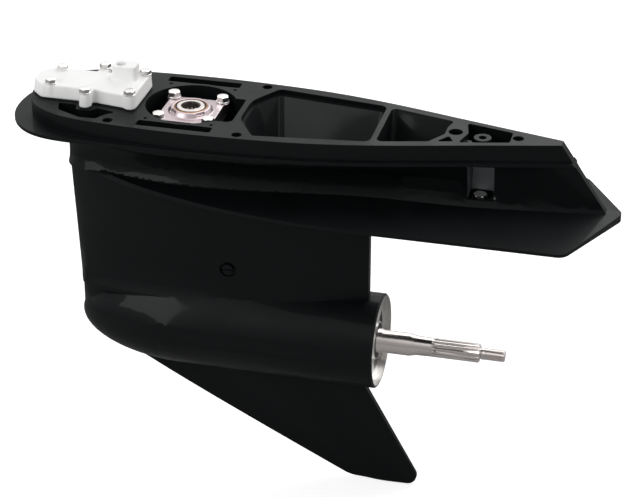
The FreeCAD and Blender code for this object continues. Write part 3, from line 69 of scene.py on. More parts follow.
PROP_AXIS_Z = -313.5 * MM
COVER_BOLT_SEATS = [(x, side * y) for x, y in ((-179, 22.5), (-127, 41), (-70, 33.5)) for side in (1, -1)]
RETAINER_BOLT_SEATS = [(x, y) for x in (32.5, -32.5) for y in (34.5, -34.5)]


# Sizes and colours that a user would change

def length(name, what, millimetres):
    return bpy.props.FloatProperty(
        name=name, description=what, default=millimetres * MM, min=0.0, unit="LENGTH", precision=5
    )


def number(name, what, value):
    return bpy.props.FloatProperty(name=name, description=what, default=value)


def colour(name, what, hex_value):
    return bpy.props.StringProperty(name=name, description=what + ", as an sRGB hex value", default=hex_value)


class LowerUnitSizes(bpy.types.PropertyGroup):
    cast_grain: length("Casting grain", "Spacing of the paint's orange peel", 2.6)
    cover_voxel: length("Cover fillet", "Grid that rounds the cover's cast edges", 0.85)
    retainer_voxel: length("Retainer fillet", "Grid that softens the retainer's edges", 0.6)
    thread_pitch: length("Thread pitch", "Pitch of the propeller nut's thread, coarse so that it shows", 2.4)
    thread_depth: length("Thread depth", "Depth of the propeller nut's thread", 0.85)
    cover_head: length("Cover bolt head", "Across the corners of a cover bolt's head", 15.0)
    retainer_head: length("Retainer bolt head", "Across the corners of a retainer bolt's head", 16.4)


class LowerUnitColours(bpy.types.PropertyGroup):
    enamel: colour("Enamel", "Gloss black marine enamel", "#050809")
    cover: colour("Cover", "White enamel of the front cover", "#f4f4f3")
    steel: colour("Steel", "Turned stainless steel", "#d2cbc8")
    bolt: colour("Bolts", "Stainless bolt heads", "#dcdad8")
    machined: colour("Retainer", "Machined retainer plate", "#b3a6a9")
    carrier: colour("Carrier", "Machined aluminium of the carrier", "#d4d2d0")
    bronze: colour("Bronze", "Bronze of the seal's case and the bushes", "#a9764a")
    gear: colour("Gears", "Case-hardened gear steel", "#6f6f72")
    bearing: colour("Bearings", "Ground bearing steel", "#b4b6ba")
    rubber: colour("Rubber", "Nitrile rubber", "#151516")
    # Painted light: the side window's pale metal stands for the light falling in on its walls
    window_painted_light: colour("Window painted light", "Pale metal painted on the side window as the light falling in", "#85888a")
    gasket: colour("Gasket", "Pressed gasket sheet", "#1c1d1f")


class LowerUnitStudio(bpy.types.PropertyGroup):
    lens: number("Lens", "Focal length on a 36 mm sensor", 122.93)
    azimuth: number("Azimuth", "Camera's turn from port, degrees", 13.552)
    elevation: number("Elevation", "Camera's height angle, degrees", 28.11)
    roll: number("Roll", "Camera's roll, degrees", -0.30)
    distance: length("Distance", "Camera's distance from the aim point", 2931.65)
    shift_right: length("Aim to the left", "Offset of the aim point in the picture plane", 166.12)
    shift_up: length("Aim below", "Offset of the aim point in the picture plane", 92.20)


# Small helpers

def linear(hex_value):
    """sRGB hex to a linear RGBA colour."""
    text = hex_value.lstrip("#")
    channels = [int(text[i:i + 2], 16) / 255 for i in (0, 2, 4)]
    return [c / 12.92 if c <= 0.04045 else ((c + 0.055) / 1.055) ** 2.4 for c in channels] + [1.0]


def add(tree, kind, links=(), **settings):
    """Adds a node. Settings are attributes, or sockets by index or name under 'inputs'."""
    node = tree.nodes.new(kind)
    inputs = settings.pop("inputs", {})
    for key, value in settings.items():
        setattr(node, key, value)
    for key, value in inputs.items():
        node.inputs[key].default_value = value
    for source, socket in links:
        tree.links.new(source, node.inputs[socket])
    return node


def new_material(name):
    material = bpy.data.materials.new(name)
    material.use_nodes = True
    tree = material.node_tree
    return material, tree, tree.nodes["Principled BSDF"]


DRIFT_SCALE = 14.0             # noise cells per metre of the slow drift in colour and roughness
COAT_ROUGHNESS = 0.07
WAVE_RADIANS = 20              # what Blender's wave texture runs through per metre at a scale of 1


def surface(name, hex_value, metallic, roughness, grain_mm, relief_mm, spread=0.08, tint=0.12,
            bump=0.4, specular=0.5, edge_mm=0.0, coat=0.0):
    """Finish with fine relief, and with colour and roughness that drift a little over the piece.

    grain_mm is the spacing of the relief, relief_mm its height, spread the drift of the
    roughness, tint the drift of the colour, and edge_mm the radius that softens hard edges."""
    material, tree, shader = new_material(name)
    place = add(tree, "ShaderNodeTexCoord")
    grain = add(tree, "ShaderNodeTexNoise", [(place.outputs["Object"], "Vector")],
                inputs={"Scale": 1.0 / (grain_mm * MM), "Detail": 3.0, "Roughness": 0.55})
    drift = add(tree, "ShaderNodeTexNoise", [(place.outputs["Object"], "Vector")],
                inputs={"Scale": DRIFT_SCALE, "Detail": 4.0, "Roughness": 0.6})
    rough = add(tree, "ShaderNodeMapRange", [(drift.outputs["Fac"], "Value")],
                inputs={"From Min": 0.3, "From Max": 0.7, "To Min": max(roughness - spread, 0.03),
                        "To Max": roughness + spread})
    base = linear(hex_value)
    dark = [c * (1 - tint) for c in base[:3]] + [1.0]
    light = [min(c * (1 + tint), 1.0) for c in base[:3]] + [1.0]
    shade = add(tree, "ShaderNodeMix", [(drift.outputs["Fac"], 0)], data_type="RGBA")
    shade.inputs[6].default_value = dark
    shade.inputs[7].default_value = light
    relief = add(tree, "ShaderNodeBump", [(grain.outputs["Fac"], "Height")],
                 inputs={"Strength": bump, "Distance": relief_mm * MM})
    if edge_mm:
        edge = add(tree, "ShaderNodeBevel", samples=4, inputs={"Radius": edge_mm * MM})
        tree.links.new(edge.outputs[0], relief.inputs["Normal"])
    tree.links.new(shade.outputs[2], shader.inputs["Base Color"])
    tree.links.new(rough.outputs[0], shader.inputs["Roughness"])
    tree.links.new(relief.outputs[0], shader.inputs["Normal"])
    shader.inputs["Metallic"].default_value = metallic
    shader.inputs["Specular IOR Level"].default_value = specular
    shader.inputs["Coat Weight"].default_value = coat
    shader.inputs["Coat Roughness"].default_value = COAT_ROUGHNESS
    return material


def lathe_marks(name, hex_value, roughness, axis, pitch_mm, centre=(0, 0, 0), depth_mm=0.02):
    """Turned or faced metal: fine grooves run round an axis, so that highlights stretch across them.

    pitch_mm is how far the grooves' wave advances in one radian."""
    material = surface(name, hex_value, 1.0, roughness, 1.2, 0.02, spread=0.06, tint=0.1, bump=0.25)
    tree = material.node_tree
    shader = tree.nodes["Principled BSDF"]
    relief = shader.inputs["Normal"].links[0].from_node
    place = add(tree, "ShaderNodeTexCoord")
    turn = {"X": (0, math.pi / 2, 0), "Z": (0, 0, 0)}[axis]
    shifted = add(tree, "ShaderNodeMapping", [(place.outputs["Object"], "Vector")],
                  vector_type="TEXTURE", inputs={"Location": centre, "Rotation": turn})
    rings = add(tree, "ShaderNodeTexWave", [(shifted.outputs[0], "Vector")], wave_type="RINGS",
                rings_direction="Z", inputs={"Scale": 1.0 / (WAVE_RADIANS * pitch_mm * MM),
                                             "Distortion": 0.6, "Detail": 2.0, "Detail Scale": 1.5})
    marks = add(tree, "ShaderNodeBump", [(rings.outputs["Fac"], "Height"), (relief.outputs[0], "Normal")],
                inputs={"Strength": 0.35, "Distance": depth_mm * MM})
    tree.links.new(marks.outputs[0], shader.inputs["Normal"])
    return material


def copy_of(node, name):
    """A merged, editable copy of a construction node's mesh, at the origin."""
    mesh = NODES[node].data.copy()
    mesh.name = name
    piece = bpy.data.objects.new(name, mesh)
    bpy.context.scene.collection.objects.link(piece)
    form = bmesh.new()
    form.from_mesh(mesh)
    bmesh.ops.remove_doubles(form, verts=form.verts, dist=1e-6)
    form.to_mesh(mesh)
    form.free()
    return piece


def settle(piece):
    """Applies a piece's modifiers to its mesh."""
    depsgraph = bpy.context.evaluated_depsgraph_get()
    mesh = bpy.data.meshes.new_from_object(piece.evaluated_get(depsgraph), depsgraph=depsgraph)
    piece.modifiers.clear()
    old = piece.data
    piece.data = mesh
    bpy.data.meshes.remove(old)
    mesh.name = piece.name


def soften(piece, voxel, rounds):
    """Rounds all the edges of a casting: a fine even grid, then a few passes of smoothing."""
    remesh = piece.modifiers.new("Grid", "REMESH")
    remesh.mode = "VOXEL"
    remesh.voxel_size = voxel
    remesh.use_smooth_shade = True
    smooth = piece.modifiers.new("Round", "SMOOTH")
    smooth.factor = 0.5
    smooth.iterations = rounds
    settle(piece)


def smooth_by_angle(piece, degrees):
    for polygon in piece.data.polygons:
        polygon.use_smooth = True
    piece.data.set_sharp_from_angle(angle=math.radians(degrees))


# Shading of a big casting

FLAT_COSINE = math.cos(math.radians(2.5))  # faces that turn less than this lie flat with each other
FLAT_SHARE = 0.62              # share of the area round a point from which a flat face rules
REFINE_PASSES = 5
STEP = 0.5                     # how far one round moves a value towards its neighbours' mean
NORMAL_SPREAD = 0.16           # normals that differ by much more than this don't even out
MOVED = 0.02 * MM              # a point that moved more than this gets a fresh normal


def split_at_creases(form, crease):
    """Cuts the mesh open along its creases, so that each smooth patch has its own points."""
    creases = [e for e in form.edges if len(e.link_faces) != 2 or e.calc_face_angle(math.pi) > crease]
    bmesh.ops.split_edges(form, edges=creases)


def patch_normals(form, layer):
    """One normal per point of a patch. Where one flat face dominates, its normal rules."""
    for point in form.verts:
        faces = point.link_faces
        widest = max(faces, key=lambda f: f.calc_area())
        flat = [f for f in faces if f.normal.dot(widest.normal) > FLAT_COSINE]
        area = sum(f.calc_area() for f in faces)
        if sum(f.calc_area() for f in flat) > FLAT_SHARE * area:
            normal = sum((f.normal * f.calc_area() for f in flat), Vector())
        else:
            normal = Vector()
            for corner in point.link_loops:
                normal += corner.face.normal * corner.calc_angle()
        point[layer] = normal.normalized()


def refine(form, longest, inside):
    """Halves the long edges of a region a few times. The normals are carried along."""
    for _ in range(REFINE_PASSES):
        edges = [e for e in form.edges
                 if e.calc_length() > longest and inside((e.verts[0].co + e.verts[1].co) / 2)]
        bmesh.ops.subdivide_edges(form, edges=edges, cuts=1)
        bmesh.ops.triangulate(form, faces=[f for f in form.faces if len(f.verts) > 3])


def even_out(values, pairs, hold, rounds, spread):
    """Moves each point's value towards its neighbours' values, and less where they differ by much."""
    count = len(values)
    for _ in range(rounds):
        apart = ((values[pairs[:, 0]] - values[pairs[:, 1]]) ** 2).sum(axis=1)
        weight = numpy.exp(-apart / spread ** 2)
        total = numpy.bincount(pairs.ravel(), weights=numpy.repeat(weight, 2), minlength=count)
        mean = numpy.zeros_like(values)
        for k in range(3):
            pull = weight * values[pairs[:, 1], k]
            back = weight * values[pairs[:, 0], k]
            mean[:, k] = numpy.bincount(pairs[:, 0], weights=pull, minlength=count)
            mean[:, k] += numpy.bincount(pairs[:, 1], weights=back, minlength=count)
        mean /= numpy.maximum(total, 1e-9)[:, None]
        values = values + (mean - values) * (STEP * hold)[:, None]
    return values


def cast_shading(piece, crease_degrees, rounds, longest, inside, shape):
    """Even shading for a big casting: flat faces stay flat and curved ones flow, up to the creases.

    Edges over the longest length are halved where inside says so. Then shape moves the points: it
    takes their places and normals, the pairs of neighbours and a mark for points on creases. The
    normals are evened out in some rounds and written to the mesh."""
    form = bmesh.new()
    form.from_mesh(piece.data)
    split_at_creases(form, math.radians(crease_degrees))
    layer = form.verts.layers.float_vector.new("patch_normal")
    patch_normals(form, layer)
    refine(form, longest, inside)
    form.verts.index_update()
    pairs = numpy.array([[v.index for v in e.verts] for e in form.edges])
    border = numpy.zeros(len(form.verts), dtype=bool)
    for edge in form.edges:
        if len(edge.link_faces) != 2:
            border[[v.index for v in edge.verts]] = True
    normals = numpy.array([v[layer][:] for v in form.verts])
    places = numpy.array([v.co[:] for v in form.verts])
    moved = shape(places, normals, pairs, border)
    for point, place in zip(form.verts, moved):
        point.co = place
    shifted = numpy.linalg.norm(moved - places, axis=1) > MOVED
    form.normal_update()
    fresh = numpy.array([v.normal[:] for v in form.verts])
    normals[shifted] = fresh[shifted]
    normals = even_out(normals, pairs, numpy.ones(len(normals)), rounds, NORMAL_SPREAD)
    normals /= numpy.maximum(numpy.linalg.norm(normals, axis=1), 1e-9)[:, None]
    corner = form.loops.layers.float_vector.new("corner_normal")
    for face in form.faces:
        face.smooth = True
        for loop in face.loops:
            loop[corner] = normals[loop.vert.index]
    bmesh.ops.remove_doubles(form, verts=form.verts, dist=1e-7)
    form.to_mesh(piece.data)
    form.free()
    mesh = piece.data
    given = numpy.zeros(len(mesh.loops) * 3)
    mesh.attributes["corner_normal"].data.foreach_get("vector", given)
    mesh.normals_split_custom_set(given.reshape(-1, 3).tolist())
    for name in ("corner_normal", "patch_normal"):
        mesh.attributes.remove(mesh.attributes[name])


def finish(piece, material, slot, body, *nodes):
    """Gives a piece its material and its body, and hides the construction nodes it stands for."""
    piece.data.materials.clear()
    piece.data.materials.append(material)
    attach(piece, body)
    if nodes:
        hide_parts(*nodes)
    return piece


def paint(node, material):
    """Gives a construction node a finish."""
    data = NODES[node].data
    if data.materials:
        for index in range(len(data.materials)):
            data.materials[index] = material
    else:
        data.materials.append(material)


def mesh_piece(name, points, faces):
    mesh = bpy.data.meshes.new(name)
    mesh.from_pydata(points, [], faces)
    mesh.validate()
    piece = bpy.data.objects.new(name, mesh)
    bpy.context.scene.collection.objects.link(piece)
    return piece


def ring_grid(rings):
    """Points and faces of a closed tube through rings that all have the same number of points."""
    count = len(rings[0])
    points = [p for ring in rings for p in ring]
    faces = []
    for r in range(len(rings) - 1):
        for i in range(count):
            j = (i + 1) % count
            faces.append((r * count + i, r * count + j, (r + 1) * count + j, (r + 1) * count + i))
    faces.append(tuple(reversed(range(count))))
    faces.append(tuple((len(rings) - 1) * count + i for i in range(count)))
    return points, faces


def turned_ring(section, steps):
    """Points and faces of a ring about the driveshaft's axis, from a closed section of (radius, height)."""
    count = len(section)
    points, faces = [], []
    for i in range(steps):
        turn = 2 * math.pi * i / steps
        points += [(r * math.cos(turn), r * math.sin(turn), z) for r, z in section]
        after = (i + 1) % steps
        for k in range(count):
            m = (k + 1) % count
            faces.append((i * count + k, after * count + k, after * count + m, i * count + m))
    return points, faces


# Fasteners

HEX_STEPS = 10                 # points along one side of a head
CROWN_SHARE = 0.93             # radius of the head's flat top, as a share of its half width
DISH_SHARE = 0.55              # where the flat top rises to its middle, as a share of its radius
DISH_RISE = 0.12 * MM
CHAMFER_SLOPE = math.tan(math.radians(28))
SOFT_EDGE = 0.35 * MM
HEAD_OVER_SEAT = 8.6 * MM      # height of a construction bolt's washer and head


def hex_head_mesh(name, corner_r, collar_r, collar, head, shank_r, shank):
    """One hex bolt standing on the origin: shank, round collar with a soft rim, chamfered head."""
    flat_r = corner_r * math.cos(math.pi / 6)
    crown_r = flat_r * CROWN_SHARE
    top = collar + head
    steps = 6 * HEX_STEPS
    angles = [2 * math.pi * i / steps for i in range(steps)]

    def hex_reach(angle):
        return flat_r / math.cos((angle + math.pi / 6) % (math.pi / 3) - math.pi / 6)

    def circle(radius, z):
        return [(radius * math.cos(a), radius * math.sin(a), z) for a in angles]

    def hexagon(shrink, height):
        ring = []
        for a in angles:
            reach = hex_reach(a) - shrink
            ring.append((reach * math.cos(a), reach * math.sin(a), height(reach)))
        return ring

    def chamfer(reach):
        return top - max(reach - crown_r, 0.0) * CHAMFER_SLOPE

    soft = SOFT_EDGE
    rings = [
        circle(shank_r, -shank), circle(shank_r, -soft), circle(shank_r + soft, 0.0),
        circle(collar_r - soft, 0.0), circle(collar_r, soft),
        circle(collar_r, collar - soft), circle(collar_r - soft, collar),
        hexagon(-0.2 * soft, lambda reach: collar), hexagon(0.0, lambda reach: collar + soft),
        hexagon(0.0, lambda reach: chamfer(reach) - soft * 0.5), hexagon(soft * 0.6, chamfer),
        circle(crown_r, top), circle(crown_r * DISH_SHARE, top + DISH_RISE),
    ]
    return mesh_piece(name, *ring_grid(rings))


def bolt_tree():
    """Geometry Nodes: one bolt on every point, each turned a little differently."""
    tree = bpy.data.node_groups.new("Bolts on seats", "GeometryNodeTree")
    face = tree.interface
    face.new_socket("Seats", in_out="INPUT", socket_type="NodeSocketGeometry")
    for name, kind in (("Bolt", "NodeSocketObject"), ("Size", "NodeSocketFloat"),
                       ("Turn seed", "NodeSocketInt"), ("Finish", "NodeSocketMaterial")):
        face.new_socket(name, in_out="INPUT", socket_type=kind)
    face.new_socket("Bolts", in_out="OUTPUT", socket_type="NodeSocketGeometry")
    given = add(tree, "NodeGroupInput")
    bolt = add(tree, "GeometryNodeObjectInfo", [(given.outputs["Bolt"], "Object")])
    turn = add(tree, "FunctionNodeRandomValue", [(given.outputs["Turn seed"], "Seed")],
               data_type="FLOAT_VECTOR", inputs={0: (0, 0, 0), 1: (0, 0, math.pi / 3)})
    placed = add(tree, "GeometryNodeInstanceOnPoints",
                 [(given.outputs["Seats"], "Points"), (bolt.outputs["Geometry"], "Instance"),
                  (turn.outputs[0], "Rotation"), (given.outputs["Size"], "Scale")])
    real = add(tree, "GeometryNodeRealizeInstances", [(placed.outputs[0], 0)])
    dressed = add(tree, "GeometryNodeSetMaterial",
                  [(real.outputs[0], 0), (given.outputs["Finish"], "Material")])
    add(tree, "NodeGroupOutput", [(dressed.outputs[0], 0)])
    return tree


def bolts_on_seats(name, seats, height, bolt, seed, material):
    """Sets one bolt mesh on a list of seats, as one plain mesh."""
    piece = mesh_piece(name, [(x * MM, y * MM, height) for x, y in seats], [])
    tree = bpy.data.node_groups.get("Bolts on seats") or bolt_tree()
    modifier = piece.modifiers.new("Bolts", "NODES")
    modifier.node_group = tree
    values = {"Bolt": bolt, "Size": 1.0, "Turn seed": seed, "Finish": material}
    for item in tree.interface.items_tree:
        if item.in_out == "INPUT" and item.name in values:
            modifier[item.identifier] = values[item.name]
    settle(piece)
    bpy.data.objects.remove(bolt)
    smooth_by_angle(piece, 32)
    return piece


# Operators

class Piece:
    """What the operators of this add-on share."""
    bl_options = {"REGISTER", "UNDO"}

    @property
    def sizes(self):
        return bpy.context.scene.lower_unit_sizes

    @property
    def colours(self):
        return bpy.context.scene.lower_unit_colours


class LOWERUNIT_OT_gearcase(Piece, bpy.types.Operator):
    """The painted casting: gloss black enamel with slight orange peel and soft edges"""
    bl_idname = "lowerunit.gearcase"
    bl_label = "Gearcase casting"

    bore_start = 205 * MM
    bore_r = 60 * MM
    window = ((363, -25, -81), (398, 12, -31))  # two corners of a box round the side window, mm

    crease_degrees = 19
    shading_rounds = 24

    # Where long edges are halved: between two heights, up to a station and off the centre plane
    longest_edge = 8 * MM
    foot_region = (-306 * MM, -200 * MM, 190 * MM)
    neck_region = (-100 * MM, -52 * MM, 290 * MM)
    region_y = 12 * MM
    region_r = 57 * MM

    # Where the skin is blended: fully between the two middle heights, fading to the outer two
    # and from one station aft to the next
    foot_heights, foot_fade = (-296 * MM, -284 * MM, -232 * MM, -212 * MM), (160 * MM, 185 * MM)
    neck_heights, neck_fade = (-101 * MM, -94 * MM, -62 * MM, -54 * MM), (270 * MM, 290 * MM)
    neck_share = 0.8
    blend_y = 14 * MM
    blend_r = 58 * MM
    blend_rounds = 60
    blend_spread = 1.0             # a metre, so that all neighbours count alike

    def in_root(self, place):
        """Whether a place lies on the outer skin round the strut's foot or at its neck."""
        away = math.hypot(place.y, place.z - PROP_AXIS_Z)
        low, high, aft = self.foot_region
        foot = low < place.z < high and place.x < aft and away > self.region_r
        low, high, aft = self.neck_region
        neck = low < place.z < high and place.x < aft
        return abs(place.y) > self.region_y and (foot or neck)

    def blend_root(self, places, normals, pairs, border):
        """Opens the outer fillets at the strut's foot and neck into the soft blends of the real casting."""
        def ramp(value, start, end):
            share = numpy.clip((value - start) / (end - start), 0.0, 1.0)
            return share * share * (3 - 2 * share)

        def band(heights, fade):
            low, full_low, full_high, high = heights
            return ramp(z, low, full_low) * ramp(z, high, full_high) * ramp(x, fade[1], fade[0])

        x, y, z = places.T
        away = numpy.hypot(y, z - PROP_AXIS_Z)
        foot = band(self.foot_heights, self.foot_fade) * (away > self.blend_r)
        neck = band(self.neck_heights, self.neck_fade)
        outer = (numpy.abs(y) > self.blend_y) & (normals[:, 1] * y > 0) & ~border
        hold = numpy.maximum(foot, self.neck_share * neck) * outer
        return even_out(places, pairs, hold, self.blend_rounds, self.blend_spread)

    def execute(self, context):
        # Sprayed enamel over cast aluminium: deep black, a soft even gloss, shallow orange peel
        enamel = surface("gloss_marine_enamel", self.colours.enamel, 0.0, 0.56,
                         self.sizes.cast_grain / MM, 0.02, spread=0.06, tint=0.25, bump=0.2,
                         specular=0.11, edge_mm=0.8, coat=0.09)
        # Bored aluminium: bright bare metal with fine rings, where the carrier and its nut sit
        bored = lathe_marks("bored_aluminium", self.colours.carrier, 0.28, "X", 1.0,
                            centre=(0, 0, PROP_AXIS_Z))
        casting = copy_of("gearcase_housing", "gearcase_casting")
        cast_shading(casting, self.crease_degrees, self.shading_rounds, self.longest_edge,
                     self.in_root, self.blend_root)
        finish(casting, enamel, "gearcase_paint", "gearcase", "gearcase_housing")
        casting.data.materials.append(bored)
        # Painted light: the side window's walls get a pale, dull metal that stands for the light falling in
        # on them from above
        window_painted_light = surface("milled_bare_aluminium", self.colours.window_painted_light, 1.0, 0.5, 1.2, 0.03, tint=0.15)
        casting.data.materials.append(window_painted_light)
        low, high = self.window
        for polygon in casting.data.polygons:
            away = math.hypot(polygon.center.y, polygon.center.z - PROP_AXIS_Z)
            if polygon.center.x > self.bore_start and away < self.bore_r:
                polygon.material_index = 1
            # Faces inside the window's box get the painted light
            elif all(low[i] * MM < polygon.center[i] < high[i] * MM for i in range(3)):
                polygon.material_index = 2
        # The same paint covers the trim tab and the level plug
        for node in ("trim_tab", "oil_level_plug"):
            paint(node, enamel)
        return {"FINISHED"}


class LOWERUNIT_OT_cover(Piece, bpy.types.Operator):
    """The white front cover with its gasket: a small casting with rounded edges"""
    bl_idname = "lowerunit.cover"
    bl_label = "Front cover"

    soft_rounds = 24

    def execute(self, context):
        # White enamel on a sand casting: soft edges and a faint pebbled skin
        enamel = surface("white_cover_enamel", self.colours.cover, 0.0, 0.38, 1.4, 0.04,
                         spread=0.06, tint=0.02, bump=0.3, specular=0.4)
        cover = copy_of("front_cover", "front_cover_casting")
        soften(cover, self.sizes.cover_voxel, self.soft_rounds)
        finish(cover, enamel, "cover_paint", "gearcase", "front_cover")
        # Pressed gasket sheet: dull, fibrous
        sheet = surface("gasket_sheet", self.colours.gasket, 0.0, 0.8, 0.8, 0.05, tint=0.3, specular=0.3)
        paint("front_cover_gasket", sheet)
        return {"FINISHED"}


class LOWERUNIT_OT_bolts(Piece, bpy.types.Operator):
    """Hex bolts of the cover and of the bearing retainer, and the plain fasteners"""
    bl_idname = "lowerunit.bolts"
    bl_label = "Hex bolts"

    cover_bolt = {"collar_r": 7.9 * MM, "collar": 1.3 * MM, "head": 5.2 * MM,
                  "shank_r": 3 * MM, "shank": 28 * MM}
    retainer_bolt = {"collar_r": 8.7 * MM, "collar": 1.6 * MM, "head": 6.7 * MM,
                     "shank_r": 4 * MM, "shank": 26 * MM}
    cover_seed, retainer_seed = 4, 9

    def execute(self, context):
        # Cold-headed stainless steel: bright, with a slightly uneven skin
        steel = surface("stainless_bolt_head", self.colours.bolt, 1.0, 0.28, 0.9, 0.04, bump=0.3)
        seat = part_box("front_cover_bolts")[1].z - HEAD_OVER_SEAT
        head = hex_head_mesh("cover_bolt", self.sizes.cover_head / 2, **self.cover_bolt)
        bolts = bolts_on_seats("front_cover_hex_bolts", COVER_BOLT_SEATS, seat, head,
                               self.cover_seed, steel)
        finish(bolts, steel, "bolt_steel", "gearcase", "front_cover_bolts")
        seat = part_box("retainer_bolts")[1].z - HEAD_OVER_SEAT
        head = hex_head_mesh("retainer_bolt", self.sizes.retainer_head / 2, **self.retainer_bolt)
        bolts = bolts_on_seats("retainer_hex_bolts", RETAINER_BOLT_SEATS, seat, head,
                               self.retainer_seed, steel)
        finish(bolts, steel, "bolt_steel", "gearcase", "retainer_bolts")
        for node in ("oil_drain_plug", "pinion_nut", "trim_tab_bolt"):
            paint(node, steel)
        return {"FINISHED"}


class LOWERUNIT_OT_retainer(Piece, bpy.types.Operator):
    """The driveshaft's bearing retainer, its seal and the shaft's hollow head"""
    bl_idname = "lowerunit.retainer"
    bl_label = "Bearing retainer"

    soft_rounds = 3
    seal_gap = 0.02 * MM           # between the seal's case and its bore
    seal_width = 3.4 * MM          # from the case's outside to the lip's edge
    case_width = 1.25 * MM
    ring_steps = 96

    def seal_section(self, outer, low, high):
        """Half section of the seal in radii and heights: the rim of its case, a dip, and the lip."""
        inner = outer - self.seal_width
        return [
            (outer, low + 0.2 * MM), (outer, high - 0.3 * MM), (outer - 0.3 * MM, high),
            (outer - 1.1 * MM, high), (outer - 1.4 * MM, high - 0.6 * MM),
            (inner + 0.6 * MM, high - 1.5 * MM), (inner, high - 0.9 * MM), (inner, low + 1.0 * MM),
        ]

    def execute(self, context):
        # Cast and faced plate: pale grey metal with fine facing rings round the shaft
        plate = lathe_marks("faced_retainer_plate", self.colours.machined, 0.34, "Z", 1.1, depth_mm=0.03)
        retainer = copy_of("bearing_retainer", "driveshaft_bearing_retainer")
        soften(retainer, self.sizes.retainer_voxel, self.soft_rounds)
        finish(retainer, plate, "retainer_cast", "gearcase", "bearing_retainer")
        # Seal: a drawn case with a bronze cast and a dull black rubber lip on the shaft
        case = surface("bronze_seal_case", self.colours.bronze, 1.0, 0.3, 0.8, 0.02, tint=0.2)
        lip = surface("seal_lip_rubber", self.colours.rubber, 0.0, 0.5, 0.6, 0.02, specular=0.4)
        low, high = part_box("driveshaft_seal")
        outer = high.x - self.seal_gap
        section = self.seal_section(outer, low.z, high.z)
        seal = mesh_piece("driveshaft_lip_seal", *turned_ring(section, self.ring_steps))
        smooth_by_angle(seal, 40)
        finish(seal, case, "seal_bronze", "gearcase", "driveshaft_seal")
        seal.data.materials.append(lip)
        for polygon in seal.data.polygons:
            if math.hypot(polygon.center.x, polygon.center.y) < outer - self.case_width:
                polygon.material_index = 1
        return {"FINISHED"}


class LOWERUNIT_OT_shafts(Piece, bpy.types.Operator):
    """The propeller shaft with its thread, and the driveshaft"""
    bl_idname = "lowerunit.shafts"
    bl_label = "Shafts"

    thread_start = 388.6 * MM
    thread_end = 418.9 * MM
    thread_r = 7.9 * MM
    lead_in, fade_run = 1.0 * MM, 2 * MM
    chamfer_run, chamfer_slope = 1.6 * MM, 0.9
    flank = 3.2                    # steepness of a groove's flanks
    round_steps, steps_per_turn = 72, 8

    def thread_mesh(self):
        """Helical thread on the propeller end of the shaft, with a plain lead-in and a chamfered end."""
        steps = self.round_steps
        pitch, depth = self.sizes.thread_pitch, self.sizes.thread_depth
        rings = []
        run = self.thread_end - self.thread_start
        count = int(run / pitch * self.steps_per_turn)
        for k in range(count + 1):
            along = run * k / count
            fade = min(1.0, max(0.0, along - self.lead_in) / self.fade_run)
            taper = max(0.0, along - (run - self.chamfer_run)) * self.chamfer_slope
            ring = []
            for i in range(steps):
                angle = 2 * math.pi * i / steps
                phase = (along / pitch - i / steps) % 1.0
                groove = max(0.0, 1.0 - abs(phase - 0.5) * self.flank)
                radius = min(self.thread_r - depth * groove * fade, self.thread_r - taper)
                ring.append((self.thread_start + along, radius * math.cos(angle),
                             PROP_AXIS_Z + radius * math.sin(angle)))
            rings.append(ring)
        return ring_grid(rings)

    def execute(self, context):
        # Turned stainless steel: bright bands with fine tool marks round the axis
        turned = lathe_marks("turned_stainless_shaft", self.colours.steel, 0.22, "X", 0.9,
                             centre=(0, 0, PROP_AXIS_Z), depth_mm=0.012)
        shaft = copy_of("propeller_shaft", "propeller_shaft_threaded")
        form = bmesh.new()
        form.from_mesh(shaft.data)
        cut = bmesh.ops.bisect_plane(form, geom=form.verts[:] + form.edges[:] + form.faces[:], dist=1e-7,
                                     plane_co=(self.thread_start, 0, 0), plane_no=(1, 0, 0), clear_outer=True)
        rim = [e for e in cut["geom_cut"] if isinstance(e, bmesh.types.BMEdge)]
        bmesh.ops.holes_fill(form, edges=rim, sides=0)
        form.to_mesh(shaft.data)
        form.free()
        thread = mesh_piece("thread", *self.thread_mesh())
        smooth_by_angle(shaft, 30)
        smooth_by_angle(thread, 50)
        with context.temp_override(active_object=shaft, selected_editable_objects=[shaft, thread]):
            bpy.ops.object.join()
        finish(shaft, turned, "shaft_steel", "output_shaft", "propeller_shaft")
        upright = lathe_marks("turned_driveshaft_steel", self.colours.steel, 0.24, "Z", 0.9, depth_mm=0.012)
        paint("driveshaft", upright)
        for node in ("clutch_cross_pin", "clutch_plunger", "shift_shaft"):
            paint(node, upright)
        return {"FINISHED"}


